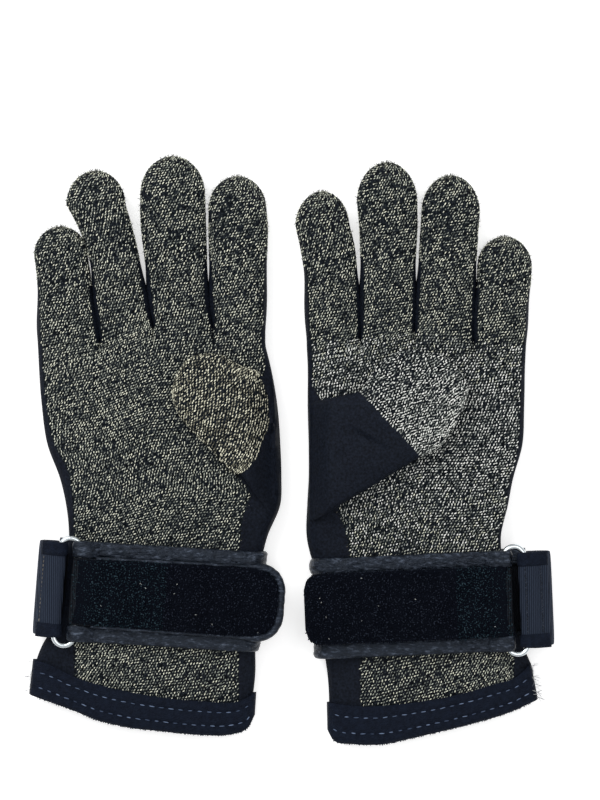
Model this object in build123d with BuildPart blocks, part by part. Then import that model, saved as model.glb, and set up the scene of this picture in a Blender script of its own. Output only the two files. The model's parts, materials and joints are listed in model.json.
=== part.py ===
"""A pair of cut-resistant sailing gloves, laid palm up side by side.

Each glove is a hollow shell: an aramid-knit palm and finger fronts, a neoprene back, four finger
stalls in two segments, a thumb folded across the palm, and a cuff that ends in a sewn hem. A bound
wrist strap wraps the cuff, passes through a metal link and folds back on itself.

Millimetres. +X to the left-hand glove, +Y to the fingertips, +Z up out of the palm. The origin is
under the middle of the pair, on the surface that the gloves lie on.
"""

import os
from dataclasses import dataclass
from math import sqrt

from build123d import *

WALL = 2.5  # the thickness of the fabric shell
JOINT_GAP = 0.4  # between two segments that a hinge joins
UP = Vector(0, 0, 1)

# Fingers: flattened stalls, hinged across at base and knuckle just over their palm side.
FINGER_THICK = 16.0
FINGER_ROUND = 6.5
FINGER_SEAM_Z = 8.0  # where a stall's knit front meets its neoprene back
SPARE = 12.0  # how far a blank runs past the plane that trims it

# Hand shell: the palm's height, and where its knit top meets the neoprene back.
PALM_TOP = 18.0
PALM_SEAM_Z = 10.5

# Thumb: a flattened stall folded over the palm, hinged along the radial edge at the palm's level.
THUMB_LIFT = 0.3
THUMB_THICK = 14.0
THUMB_ROUND = 5.0
THUMB_BOTTOM = PALM_TOP + THUMB_LIFT
THUMB_TOP = THUMB_BOTTOM + THUMB_THICK
THUMB_SEAM_Z = THUMB_BOTTOM + THUMB_THICK / 2
CREASE_FLAT = 8.0  # the fold flattens the thumb's upper edge by this much
GUSSET_WIDTH = 11.0

# Hem: a folded band round the cuff's mouth.
HEM_THICK = 13.0
HEM_ROUND = 4.5

# Wrist strap, measured in its own frame: x from the link's strap bar to the free end, z up.
STRAP_WIDTH = 39.0  # without its edge bindings
STRAP_THICK = 2.0
STRAP_UNDER = 14.8  # underside of the front layer
STRAP_START = 4.2  # the front layer stops short of the folded hub
BACK_THICK = 2.2
BINDING_WIDTH = 5.0
BINDING_THICK = 3.2
LOOP_THICK = 1.3
HOOK_THICK = 1.5
TAB_FOOT = 12.0  # the tab's sewn foot under the cuff starts here

# Link: a chromed wire ring with two long bars, one in the tab and one in the strap.
LINK_WIRE = 2.6
LINK_SPACING = 10.0  # between the bars' centres
LINK_LENGTH = 53.2  # between the centres of the wire at the two ends
LINK_Z = 18.5
HUB_BORE = 3.1  # diameter of the fabric loops round the bars
TAB_HUB = 5.7  # outer diameter of the tab's loop

# Flap: the strap's free end, lying on top.
FLAP_WIDTH = 38.0
FLAP_UNDER = 19.9
FLAP_THICK = 2.0
PILE_THICK = 1.0
FLAP_RIM = 3.0
FLAP_HUB = 2 * (FLAP_UNDER + FLAP_THICK - LINK_Z)


@dataclass
class Finger:
    """The middle of a stall at its base, at its knuckle and at its tip, and its width there."""

    base: tuple
    knuckle: tuple
    tip: tuple
    widths: tuple


@dataclass
class Glove:
    """The sizes in which the two gloves differ. radial is +1 if the thumb's edge is at high X."""

    fingers: dict
    stations: list  # y, low x, high x, low z and high z of the hand shell
    radial: int
    knit: list  # plan outline of the knit palm panel
    hem_top: list  # three points of the arc where the hem band starts
    hem_mouth: list  # three points of the arc at the mouth
    thumb_hinge: tuple  # x, low y and high y of the thumb's crease
    thumb_upper: list  # from the crease to the tip's arc
    thumb_tip: tuple  # the middle of the tip's arc
    thumb_lower: list  # from the tip's arc back to the crease
    cap_seam: tuple  # two points of the seam between the thumb's knit cap and its neoprene
    strap_origin: tuple
    strap_angle: float
    strap_turn: float  # from the strap bar to the centre of the turn round the cuff
    tab_turn: float  # from the strap bar back to the centre of the tab's turn
    flap_length: float
    flap_corner: float


RIGHT = Glove(
    fingers={
        "index_finger": Finger((-25.7, 59.2), (-26.5, 93.7), (-27.0, 135.7), (26.0, 27.5, 28.0)),
        "middle_finger": Finger((-53.7, 60.2), (-57.6, 93.7), (-58.7, 145.7), (28.0, 31.0, 31.0)),
        "ring_finger": Finger((-81.5, 57.2), (-87.0, 93.7), (-99.5, 137.2), (25.0, 22.0, 24.5)),
        "little_finger": Finger((-110.5, 51.2), (-113.2, 79.7), (-116.0, 110.2), (28.0, 24.5, 24.0)),
    },
    stations=[
        (66.0, -125.0, -12.5, 0.0, 17.0),
        (49.7, -125.5, -12.5, 0.0, 17.5),
        (24.7, -124.5, -7.5, 0.0, 18.0),
        (-5.2, -118.0, -4.5, 0.0, 18.0),
        (-25.2, -112.0, -5.5, 0.4, 17.6),
        (-42.2, -110.5, -12.5, 2.8, 14.6),
        (-62.2, -112.5, -15.5, 2.8, 14.6),
        (-85.2, -116.0, -18.0, 2.8, 14.6),
        (-102.7, -124.0, -18.5, 2.8, 14.6),
        (-128.0, -127.5, -18.5, 0.2, 13.0),
    ],
    radial=1,
    knit=[(-130, 70), (-8, 70), (-8, -9), (-20, -21), (-25.5, -48), (-26, -130), (-108.5, -130),
          (-108.5, -60), (-116, -50), (-130, -30)],
    hem_top=[(-129.0, -103.0), (-76.0, -118.2), (-17.0, -120.7)],
    hem_mouth=[(-130.5, -121.5), (-74.0, -138.4), (-17.0, -137.6)],
    thumb_hinge=(-11.0, -26.7, 37.7),
    thumb_upper=[(-39.0, 47.2)],
    thumb_tip=(-58.0, 32.2),
    thumb_lower=[(-53.5, 15.7)],
    cap_seam=((-28.0, -11.2), (-14.0, 33.7)),
    strap_origin=(-105.5, -70.2),
    strap_angle=-4.5,
    strap_turn=85.0,
    tab_turn=14.0,
    flap_length=102.0,
    flap_corner=18.5,
)

LEFT = Glove(
    fingers={
        "index_finger": Finger((20.7, 54.7), (19.2, 89.7), (13.7, 127.7), (24.5, 25.5, 26.5)),
        "middle_finger": Finger((46.7, 57.2), (47.7, 93.7), (46.7, 142.2), (25.5, 26.5, 29.0)),
        "ring_finger": Finger((74.2, 56.2), (76.6, 93.7), (80.6, 135.7), (27.0, 26.0, 27.0)),
        "little_finger": Finger((103.0, 52.2), (105.4, 79.7), (105.9, 105.2), (26.5, 26.0, 26.5)),
    },
    stations=[
        (66.0, 8.0, 116.5, 0.0, 17.0),
        (49.7, 7.7, 116.0, 0.0, 17.5),
        (24.7, 7.7, 115.5, 0.0, 18.0),
        (-5.2, 8.5, 113.0, 0.0, 18.0),
        (-25.2, 8.0, 108.0, 0.4, 17.6),
        (-42.2, 7.5, 104.5, 2.8, 14.6),
        (-62.2, 11.5, 106.0, 2.8, 14.6),
        (-85.2, 14.5, 111.0, 2.8, 14.6),
        (-102.7, 16.5, 117.0, 2.8, 14.6),
        (-130.0, 18.0, 122.0, 0.2, 13.0),
    ],
    radial=-1,
    knit=[(120, 70), (4, 70), (4, 22), (34, 28), (62, -3), (24, -31), (29, -54), (27.5, -130),
          (110.5, -130), (110.5, -60), (112, -45), (120, -30)],
    hem_top=[(16.0, -125.0), (69.0, -126.4), (122.0, -106.6)],
    hem_mouth=[(16.5, -141.6), (62.0, -145.6), (124.5, -118.6)],
    thumb_hinge=(8.5, -37.2, 22.7),
    thumb_upper=[(34.5, 29.7), (63.0, 46.2)],
    thumb_tip=(87.0, 32.7),
    thumb_lower=[(77.0, 7.7), (23.0, -30.7)],
    cap_seam=((64.0, -2.7), (34.5, 29.7)),
    strap_origin=(105.6, -74.2),
    strap_angle=182.5,
    strap_turn=92.0,
    tab_turn=16.5,
    flap_length=99.0,
    flap_corner=8.0,
)

GLOVES = {"right": RIGHT, "left": LEFT}


def write(name, builder):
    """One STEP file for one finished piece."""
    builder.part.label = name
    export_step(builder.part, f"parts/{name}.step")


def flat_rims(part):
    """The edges round the top and bottom faces of a slab."""
    faces = part.faces().sort_by(Axis.Z)
    return faces[0].edges() + faces[-1].edges()


def heading(start, end):
    return (Vector(*end) - Vector(*start)).normalized()


def across(point, along, width):
    """The left and right ends of a line of that width across a finger."""
    side = along.cross(UP) * (width / 2)
    return Vector(*point) - side, Vector(*point) + side


def past(start, end):
    """The point a spare length beyond the end of a line."""
    return end + (end - start).normalized() * SPARE


def crosswise(y):
    """The vertical plane at y that faces the fingertips."""
    return Plane(origin=(0, y, 0), z_dir=(0, 1, 0))


# ---------------------------------------------------------------- finger stalls


def base_blank(finger, inset):
    """The blank of a stall's lower segment, from past its base to past its knuckle."""
    lower = heading(finger.base, finger.knuckle)
    wide, narrow, _ = (w - 2 * inset for w in finger.widths)
    start_left, start_right = across(finger.base, lower, wide)
    end_left, end_right = across(finger.knuckle, lower, narrow)
    with BuildPart() as blank:
        with BuildSketch(Plane.XY.offset(inset)):
            Polygon(
                past(end_left, start_left),
                past(start_left, end_left),
                past(start_right, end_right),
                past(end_right, start_right),
                align=None,
            )
        extrude(amount=FINGER_THICK - 2 * inset)
        fillet(flat_rims(blank.part), FINGER_ROUND - inset)
    return blank


def tip_blank(finger, inset):
    """The blank of a stall's closed upper segment, from before its knuckle to its round tip."""
    upper = heading(finger.knuckle, finger.tip)
    _, narrow, wide = (w - 2 * inset for w in finger.widths)
    tip = Vector(*finger.tip) - upper * inset
    shoulder = tip - upper * (wide / 2)
    low_left, low_right = across(finger.knuckle, upper, narrow)
    high_left, high_right = across(tuple(shoulder)[:2], upper, wide)
    with BuildPart() as blank:
        with BuildSketch(Plane.XY.offset(inset)):
            with BuildLine():
                Polyline(high_right, past(high_right, low_right), past(high_left, low_left),
                         high_left)
                ThreePointArc(high_left, tip, high_right)
            make_face()
        extrude(amount=FINGER_THICK - 2 * inset)
        fillet(flat_rims(blank.part), FINGER_ROUND - inset)
    return blank


def make_finger(hand, name, finger):
    """Knit front and neoprene back of the lower segment, and the knit cap of the upper one."""
    at_base = crosswise(finger.base[1] + JOINT_GAP / 2)
    below_knuckle = crosswise(finger.knuckle[1] - JOINT_GAP / 2)
    above_knuckle = crosswise(finger.knuckle[1] + JOINT_GAP / 2)

    with BuildPart() as tube:
        add(base_blank(finger, 0).part)
        add(base_blank(finger, WALL).part, mode=Mode.SUBTRACT)
        split(bisect_by=at_base, keep=Keep.TOP)
        split(bisect_by=below_knuckle, keep=Keep.BOTTOM)

    with BuildPart() as front:
        add(tube.part)
        split(bisect_by=Plane.XY.offset(FINGER_SEAM_Z), keep=Keep.TOP)
    write(f"{hand}_{name}_front", front)

    with BuildPart() as back:
        add(tube.part)
        split(bisect_by=Plane.XY.offset(FINGER_SEAM_Z), keep=Keep.BOTTOM)
    write(f"{hand}_{name}_back", back)

    with BuildPart() as cap:
        add(tip_blank(finger, 0).part)
        add(tip_blank(finger, WALL).part, mode=Mode.SUBTRACT)
        split(bisect_by=above_knuckle, keep=Keep.TOP)
    write(f"{hand}_{name}_cap", cap)


# ---------------------------------------------------------------- hand shell and hem


def hand_blank(glove, inset):
    """The hand's outer form, or with an inset its cavity, lofted through its stations."""
    with BuildPart() as blank:
        for y, low_x, high_x, low_z, high_z in glove.stations:
            middle = ((low_x + high_x) / 2, y, (low_z + high_z) / 2)
            height = high_z - low_z - 2 * inset
            with BuildSketch(Plane(origin=middle, x_dir=(1, 0, 0), z_dir=(0, 1, 0))):
                RectangleRounded(high_x - low_x - 2 * inset, height, height / 2 - 0.05)
        loft(ruled=True)
    return blank


def below_arc(arc, depth):
    """A block under an arc seen from above, to trim the hand where the hem starts."""
    low_y = min(y for _, y in arc) - depth
    with BuildPart() as block:
        with BuildSketch(Plane.XY.offset(-1)):
            with BuildLine():
                ThreePointArc(*arc)
                Polyline(arc[2], (arc[2][0], low_y), (arc[0][0], low_y), arc[0])
            make_face()
        extrude(amount=PALM_TOP + 2)
    return block


def hem_blank(glove, inset):
    """The hem's blank; with an inset it is the hole through the band, open at both arcs."""
    open_by = 8.0 if inset else 0.0
    shift = (inset, -inset)
    top = [(x, y + open_by) for x, y in glove.hem_top]
    mouth = [(x, y - open_by) for x, y in glove.hem_mouth]
    for arc in (top, mouth):
        arc[0] = (arc[0][0] + shift[0], arc[0][1])
        arc[2] = (arc[2][0] + shift[1], arc[2][1])
    with BuildPart() as blank:
        with BuildSketch(Plane.XY.offset(inset)):
            with BuildLine():
                ThreePointArc(*top)
                Line(top[2], mouth[2])
                ThreePointArc(*reversed(mouth))
                Line(mouth[0], top[0])
            make_face()
        extrude(amount=HEM_THICK - 2 * inset)
        sides = [f for f in blank.faces() if abs(f.normal_at().X) > 0.9]
        ends = [e for f in sides for e in f.edges() if abs(e.tangent_at(0.5).Z) < 0.5]
        fillet(ends, HEM_ROUND - inset)
    return blank


def make_hand(hand, glove):
    """Knit palm, neoprene back, thumb gusset and hem band."""
    with BuildPart() as shell:
        add(hand_blank(glove, 0).part)
        add(hand_blank(glove, WALL).part, mode=Mode.SUBTRACT)
        add(below_arc(glove.hem_top, 40).part, mode=Mode.SUBTRACT)
        for finger in glove.fingers.values():
            x, y = finger.base
            with BuildSketch(Plane.XY.offset(-1)):
                with Locations((x, y - JOINT_GAP / 2)):
                    Rectangle(finger.widths[0] + 6, 40, align=(Align.CENTER, Align.MIN))
            extrude(amount=PALM_TOP + 2, mode=Mode.SUBTRACT)

    with BuildPart() as panel:
        with BuildSketch(Plane.XY.offset(PALM_SEAM_Z)):
            Polygon(*glove.knit, align=None)
        extrude(amount=PALM_TOP)

    with BuildPart() as palm:
        add(shell.part)
        add(panel.part, mode=Mode.INTERSECT)
    write(f"{hand}_palm_knit", palm)

    with BuildPart() as back:
        add(shell.part)
        add(panel.part, mode=Mode.SUBTRACT)
    write(f"{hand}_hand_back", back)

    hinge_x, low_y, high_y = glove.thumb_hinge
    inner_x = hinge_x - glove.radial * GUSSET_WIDTH
    with BuildPart() as gusset:
        with BuildSketch(Plane.XY.offset(PALM_SEAM_Z)):
            Polygon((inner_x, low_y), (hinge_x, low_y), (hinge_x, high_y), (inner_x, high_y),
                    align=None)
        extrude(amount=PALM_TOP - PALM_SEAM_Z)
        add(hand_blank(glove, 0).part, mode=Mode.SUBTRACT)
    write(f"{hand}_thumb_gusset", gusset)

    with BuildPart() as hem:
        add(hem_blank(glove, 0).part)
        add(hem_blank(glove, WALL).part, mode=Mode.SUBTRACT)
    write(f"{hand}_hem_band", hem)


# ---------------------------------------------------------------- thumb


def thumb_blank(glove, inset):
    """The folded thumb's blank; with an inset it is its cavity, open at the crease."""
    hinge_x, low_y, high_y = glove.thumb_hinge
    with BuildPart() as blank:
        with BuildSketch(Plane.XY.offset(THUMB_BOTTOM + inset)) as outline:
            with BuildLine():
                Polyline(glove.thumb_lower[0], *glove.thumb_lower[1:], (hinge_x, low_y),
                         (hinge_x, high_y), *glove.thumb_upper)
                ThreePointArc(glove.thumb_upper[-1], glove.thumb_tip, glove.thumb_lower[0])
            make_face()
            if inset:
                offset(amount=-inset)
                with Locations((hinge_x, (low_y + high_y) / 2)):
                    Rectangle(4 * inset, high_y - low_y - 4 * inset)
        extrude(amount=THUMB_THICK - 2 * inset)
        if not inset:
            rims = [e for e in flat_rims(blank.part) if abs(e.center().X - hinge_x) > 3 * WALL]
            fillet(rims, THUMB_ROUND)
        slope = Vector(glove.radial, 0, 1).normalized()
        corner = Vector(hinge_x, 0, THUMB_TOP - CREASE_FLAT) - slope * inset
        split(bisect_by=Plane(origin=corner, z_dir=slope), keep=Keep.BOTTOM)
    return blank


def make_thumb(hand, glove):
    """Neoprene back, knit front against the palm, and knit cap."""
    first, second = (Vector(*p) for p in glove.cap_seam)
    toward_cap = UP.cross(second - first).normalized()
    if (Vector(*glove.thumb_tip) - first).dot(toward_cap) < 0:
        toward_cap = -toward_cap
    seam = Plane(origin=first, z_dir=toward_cap)

    with BuildPart() as tube:
        add(thumb_blank(glove, 0).part)
        add(thumb_blank(glove, WALL).part, mode=Mode.SUBTRACT)

    with BuildPart() as cap:
        add(tube.part)
        split(bisect_by=seam, keep=Keep.TOP)
    write(f"{hand}_thumb_cap", cap)

    for name, side in (("back", Keep.TOP), ("front", Keep.BOTTOM)):
        with BuildPart() as half:
            add(tube.part)
            split(bisect_by=seam, keep=Keep.BOTTOM)
            split(bisect_by=Plane.XY.offset(THUMB_SEAM_Z), keep=side)
        write(f"{hand}_thumb_{name}", half)


# ---------------------------------------------------------------- wrist strap, link and flap


def band(plane, outline, arcs, low_y, high_y):
    """A bent strap: a closed profile of points and arcs in the strap's x and z, given a width."""
    with BuildPart() as piece:
        with BuildSketch(plane.offset(-high_y)):
            with BuildLine():
                for start, end in zip(outline, outline[1:] + outline[:1]):
                    if (start, end) in arcs:
                        ThreePointArc(start, arcs[start, end], end)
                    else:
                        Line(start, end)
            make_face()
        extrude(amount=high_y - low_y)
    return piece


def strap_profile(turn, top_thick):
    """The wrist strap from beside the link, round the cuff and back under it."""
    low, under, top = 0.0, STRAP_UNDER, STRAP_UNDER + top_thick
    inner, outer = (under - BACK_THICK) / 2, (top - low) / 2
    a, b = (STRAP_START, top), (turn, top)
    c, d = (turn, low), (-TAB_FOOT, low)
    e, f = (-TAB_FOOT, BACK_THICK), (turn, BACK_THICK)
    g, h = (turn, under), (STRAP_START, under)
    arcs = {
        (b, c): (turn + outer, outer),
        (f, g): (turn + inner, BACK_THICK + inner),
    }
    return [a, b, c, d, e, f, g, h], arcs


def tab_profile(turn, top_thick):
    """The link's tab from its foot under the cuff, round the ulnar edge and up to its bar."""
    low, under, top = 0.0, STRAP_UNDER, STRAP_UNDER + top_thick
    inner, outer = (under - BACK_THICK) / 2, (top - low) / 2
    foot, reach = -TAB_FOOT - 0.2, -LINK_SPACING - TAB_HUB / 2 - 0.3
    a, b = (foot, low), (-turn, low)
    c, d = (-turn, top), (reach, top)
    e, f = (reach, under), (-turn, under)
    g, h = (-turn, BACK_THICK), (foot, BACK_THICK)
    arcs = {
        (b, c): (-turn - outer, outer),
        (f, g): (-turn - inner, BACK_THICK + inner),
    }
    return [a, b, c, d, e, f, g, h], arcs


def flap_outline(width, start, length, corner, mode=Mode.ADD):
    """A strap end with two rounded corners, on the sketch in hand."""
    half, shoulder, bend = width / 2, length - corner, corner * (1 - sqrt(0.5))
    with BuildLine() as outline:
        ThreePointArc((shoulder, -half), (length - bend, bend - half), (length, corner - half))
        Line((length, corner - half), (length, half - corner))
        ThreePointArc((length, half - corner), (length - bend, half - bend), (shoulder, half))
        Polyline((shoulder, half), (start, half), (start, -half), (shoulder, -half))
    make_face(outline.edges(), mode=mode)


def make_strap(hand, glove):
    along = Vector(1, 0, 0).rotate(Axis.Z, glove.strap_angle)
    origin = Vector(*glove.strap_origin)
    side_on = Plane(origin=origin, x_dir=along, z_dir=along.cross(UP))
    plan = Plane(origin=origin, x_dir=along, z_dir=UP)
    half = STRAP_WIDTH / 2
    edge = half + BINDING_WIDTH

    strap = strap_profile(glove.strap_turn, STRAP_THICK)
    write(f"{hand}_wrist_strap", band(side_on, *strap, -half, half))

    with BuildPart() as loop:
        with BuildSketch(plan.offset(STRAP_UNDER + STRAP_THICK)):
            with Locations((STRAP_START, 0)):
                Rectangle(glove.strap_turn - STRAP_START, STRAP_WIDTH - 1,
                          align=(Align.MIN, Align.CENTER))
        extrude(amount=LOOP_THICK)
    write(f"{hand}_strap_loop", loop)

    rim = strap_profile(glove.strap_turn, BINDING_THICK)
    for end, low_y, high_y in (("finger_side", half, edge), ("hem_side", -edge, -half)):
        write(f"{hand}_strap_binding_{end}", band(side_on, *rim, low_y, high_y))

    with BuildPart() as tab:
        add(band(side_on, *tab_profile(glove.tab_turn, STRAP_THICK), -half, half).part)
        with BuildSketch(side_on.offset(-half)):
            with Locations((-LINK_SPACING, LINK_Z)):
                Circle(TAB_HUB / 2)
            with Locations((-LINK_SPACING, STRAP_UNDER)):
                Rectangle(TAB_HUB / 2 + 1, STRAP_THICK, align=(Align.MAX, Align.MIN))
            with Locations((-LINK_SPACING, LINK_Z)):
                Circle(HUB_BORE / 2, mode=Mode.SUBTRACT)
        extrude(amount=2 * half)
    write(f"{hand}_link_tab", tab)

    link_plan = plan.offset(LINK_Z)
    with BuildPart() as link:
        with BuildLine(link_plan) as loop_line:
            with Locations((-LINK_SPACING / 2, 0)):
                straight = LINK_LENGTH / 2 - LINK_SPACING / 2
            Line((0, -straight), (0, straight))
            ThreePointArc((0, straight), (-LINK_SPACING / 2, LINK_LENGTH / 2),
                          (-LINK_SPACING, straight))
            Line((-LINK_SPACING, straight), (-LINK_SPACING, -straight))
            ThreePointArc((-LINK_SPACING, -straight), (-LINK_SPACING / 2, -LINK_LENGTH / 2),
                          (0, -straight))
        with BuildSketch(Plane(origin=link_plan.from_local_coords((0, 0, 0)),
                               z_dir=UP.cross(along))):
            Circle(LINK_WIRE / 2)
        sweep(path=loop_line.wire())
    write(f"{hand}_strap_link", link)

    flap_half = FLAP_WIDTH / 2
    field = (FLAP_WIDTH - 2 * FLAP_RIM, glove.flap_length - FLAP_RIM, glove.flap_corner - FLAP_RIM)
    with BuildPart() as flap:
        with BuildSketch(plan.offset(FLAP_UNDER)):
            flap_outline(field[0], 0, *field[1:])
        extrude(amount=FLAP_THICK)
        with BuildSketch(side_on.offset(-(flap_half - FLAP_RIM))):
            with Locations((0, LINK_Z)):
                Circle(FLAP_HUB / 2)
        extrude(amount=2 * (flap_half - FLAP_RIM))
        with BuildSketch(side_on.offset(-(flap_half - FLAP_RIM))):
            with Locations((0, LINK_Z)):
                Circle(HUB_BORE / 2)
        extrude(amount=2 * (flap_half - FLAP_RIM), mode=Mode.SUBTRACT)
    write(f"{hand}_strap_flap", flap)

    with BuildPart() as pile:
        with BuildSketch(plan.offset(FLAP_UNDER + FLAP_THICK)):
            flap_outline(field[0], 1, *field[1:])
        extrude(amount=PILE_THICK)
    write(f"{hand}_flap_pile", pile)

    with BuildPart() as rim:
        with BuildSketch(plan.offset(FLAP_UNDER - 0.2)):
            flap_outline(FLAP_WIDTH, 4, glove.flap_length, glove.flap_corner)
            flap_outline(field[0], 3, *field[1:], mode=Mode.SUBTRACT)
        extrude(amount=FLAP_THICK + PILE_THICK + 0.4)
    write(f"{hand}_flap_binding", rim)

    with BuildPart() as hook:
        with BuildSketch(plan.offset(FLAP_UNDER - HOOK_THICK)):
            with Locations((glove.flap_length * 0.5, 0)):
                Rectangle(glove.flap_length * 0.38, FLAP_WIDTH - 2 * FLAP_RIM - 4,
                          align=(Align.MIN, Align.CENTER))
        extrude(amount=HOOK_THICK)
    write(f"{hand}_flap_hook", hook)


os.makedirs("parts", exist_ok=True)
for hand_name, glove_sizes in GLOVES.items():
    for finger_name, finger_sizes in glove_sizes.fingers.items():
        make_finger(hand_name, finger_name, finger_sizes)
    make_hand(hand_name, glove_sizes)
    make_thumb(hand_name, glove_sizes)
    make_strap(hand_name, glove_sizes)
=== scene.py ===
import json
from math import pi, radians

import bpy
import numpy as np
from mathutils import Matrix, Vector, noise


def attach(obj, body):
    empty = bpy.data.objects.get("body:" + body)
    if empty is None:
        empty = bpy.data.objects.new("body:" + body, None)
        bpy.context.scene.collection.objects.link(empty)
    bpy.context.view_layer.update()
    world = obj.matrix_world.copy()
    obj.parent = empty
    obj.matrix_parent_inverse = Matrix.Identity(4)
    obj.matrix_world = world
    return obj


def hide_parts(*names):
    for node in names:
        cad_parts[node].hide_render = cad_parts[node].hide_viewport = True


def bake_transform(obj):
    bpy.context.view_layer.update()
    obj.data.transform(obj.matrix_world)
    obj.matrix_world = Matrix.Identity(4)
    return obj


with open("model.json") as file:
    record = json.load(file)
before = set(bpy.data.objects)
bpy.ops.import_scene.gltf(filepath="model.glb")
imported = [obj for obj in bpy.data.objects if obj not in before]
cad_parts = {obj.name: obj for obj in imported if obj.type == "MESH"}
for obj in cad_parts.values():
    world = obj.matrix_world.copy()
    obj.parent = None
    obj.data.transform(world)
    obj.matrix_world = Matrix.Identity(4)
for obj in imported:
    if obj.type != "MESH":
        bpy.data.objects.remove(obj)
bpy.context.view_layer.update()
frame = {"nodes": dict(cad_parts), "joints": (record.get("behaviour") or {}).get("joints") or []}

MM = 0.001
joints = {joint["name"]: joint for joint in frame["joints"]}

# ------------------------------------------------------------------ the table and its light
# The gloves lie on a plain white table, seen from straight above. A white room, a window and a
# ceiling panel light them softly.

VIEW_HEIGHT = 1.3
VIEW_SPAN = 0.400
VIEW_CENTRE = (0.0042, 0.0248)

bpy.ops.mesh.primitive_plane_add(size=6, location=(0, 0, -0.0006))
table_top = bpy.context.object
table_top.name = "table_top"
table_top.data.transform(table_top.matrix_world)
table_top.matrix_world.identity()
table_paint = bpy.data.materials.new("table_paint")
table_paint.use_nodes = True
paint = table_paint.node_tree.nodes["Principled BSDF"]
paint.inputs["Base Color"].default_value = (0.86, 0.86, 0.86, 1)
paint.inputs["Roughness"].default_value = 0.9
paint.inputs["Emission Color"].default_value = (1, 1, 1, 1)
paint.inputs["Emission Strength"].default_value = 0.5
table_top.data.materials.append(table_paint)

room = bpy.data.worlds.new("room")
room.use_nodes = True
room.node_tree.nodes["Background"].inputs["Color"].default_value = (1, 1, 1, 1)
room.node_tree.nodes["Background"].inputs["Strength"].default_value = 0.62
bpy.context.scene.world = room
bpy.context.scene.view_settings.view_transform = "Standard"


def soft_light(name, place, aim, side, power):
    """A square light panel that faces the point it is aimed at."""
    panel = bpy.data.lights.new(name, "AREA")
    panel.size, panel.energy = side, power
    lamp = bpy.data.objects.new(name, panel)
    bpy.context.scene.collection.objects.link(lamp)
    lamp.location = place
    lamp.rotation_euler = (Vector(aim) - Vector(place)).to_track_quat("-Z", "Y").to_euler()


soft_light("window", (-0.9, 1.0, 1.3), (0, 0, 0), 0.9, 15)
soft_light("ceiling", (0.3, 0.1, 1.9), (0, 0, 0), 1.2, 9)

eye = bpy.data.cameras.new("eye")
eye.sensor_fit = "VERTICAL"
eye.sensor_height = 24
eye.lens = 24 * VIEW_HEIGHT / VIEW_SPAN
eye.clip_start = 0.01
camera = bpy.data.objects.new("camera", eye)
bpy.context.scene.collection.objects.link(camera)
camera.location = (*VIEW_CENTRE, VIEW_HEIGHT)
bpy.context.scene.camera = camera

# ------------------------------------------------------------------ hand shells
# Each hand is cut as one bag: an aramid-knit palm sewn to a neoprene back that comes round both
# sides. It lies flat on its back, so it is drawn as rounds of skin from the cuff to the fingers.


def srgb(red, green, blue):
    """A colour in 0 to 255 as the renderer's own numbers."""
    parts = (((c / 255 + 0.055) / 1.055) ** 2.4 if c > 10 else c / 3295 for c in (red, green, blue))
    return (*parts, 1)


def through(knots, at):
    """A smooth line through knots (first number in order, the rest follow), read at the places in at."""
    knots = np.array(knots, float)
    x, y = knots[:, 0], knots[:, 1:]
    if x[0] > x[-1]:
        x, y = x[::-1], y[::-1]
    slope = np.gradient(y, x, axis=0)
    at = np.clip(np.asarray(at, float), x[0], x[-1])
    i = np.clip(np.searchsorted(x, at) - 1, 0, len(x) - 2)
    span = x[i + 1] - x[i]
    t = ((at - x[i]) / span)[..., None]
    span = span[..., None]
    return (y[i] * (1 + 2 * t) * (1 - t) ** 2 + slope[i] * span * t * (1 - t) ** 2
            + y[i + 1] * t * t * (3 - 2 * t) + slope[i + 1] * span * t * t * (t - 1))


def wavering(x, y, size, seed=0.0):
    """Smooth random unevenness about zero, for cloth that never lies quite true."""
    x, y = np.broadcast_arrays(x, y)
    heights = [noise.noise((a, b, seed)) for a, b in zip(x.ravel() / size, y.ravel() / size)]
    return np.array(heights).reshape(x.shape)


def rounds(plan, top, low, power, pinch=None):
    """Rounds of skin over the rows of a plan (rows, columns, 2): across the top and back underneath.
    top and low are the rows' heights, power how square they are, pinch each column's share of it."""
    rows, columns = plan.shape[:2]
    across = np.linalg.norm(plan - plan[:, :1], axis=2)
    t = 2 * across / np.maximum(across[:, -1:], 1e-9) - 1
    power = np.broadcast_to(power, (rows,))[:, None]
    bulge = np.maximum(1 - np.abs(t) ** power, 0) ** (1 / power)
    if pinch is not None:
        bulge = bulge * pinch
    top, low = (v if np.ndim(v) == 2 else np.broadcast_to(v, (rows,))[:, None] for v in (top, low))
    middle, half = (top + low) / 2, (top - low) / 2
    over = np.dstack([plan, middle + half * bulge])
    under = np.dstack([plan, middle - half * bulge])[:, -2:0:-1]
    return np.concatenate([over, under], axis=1)


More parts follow.
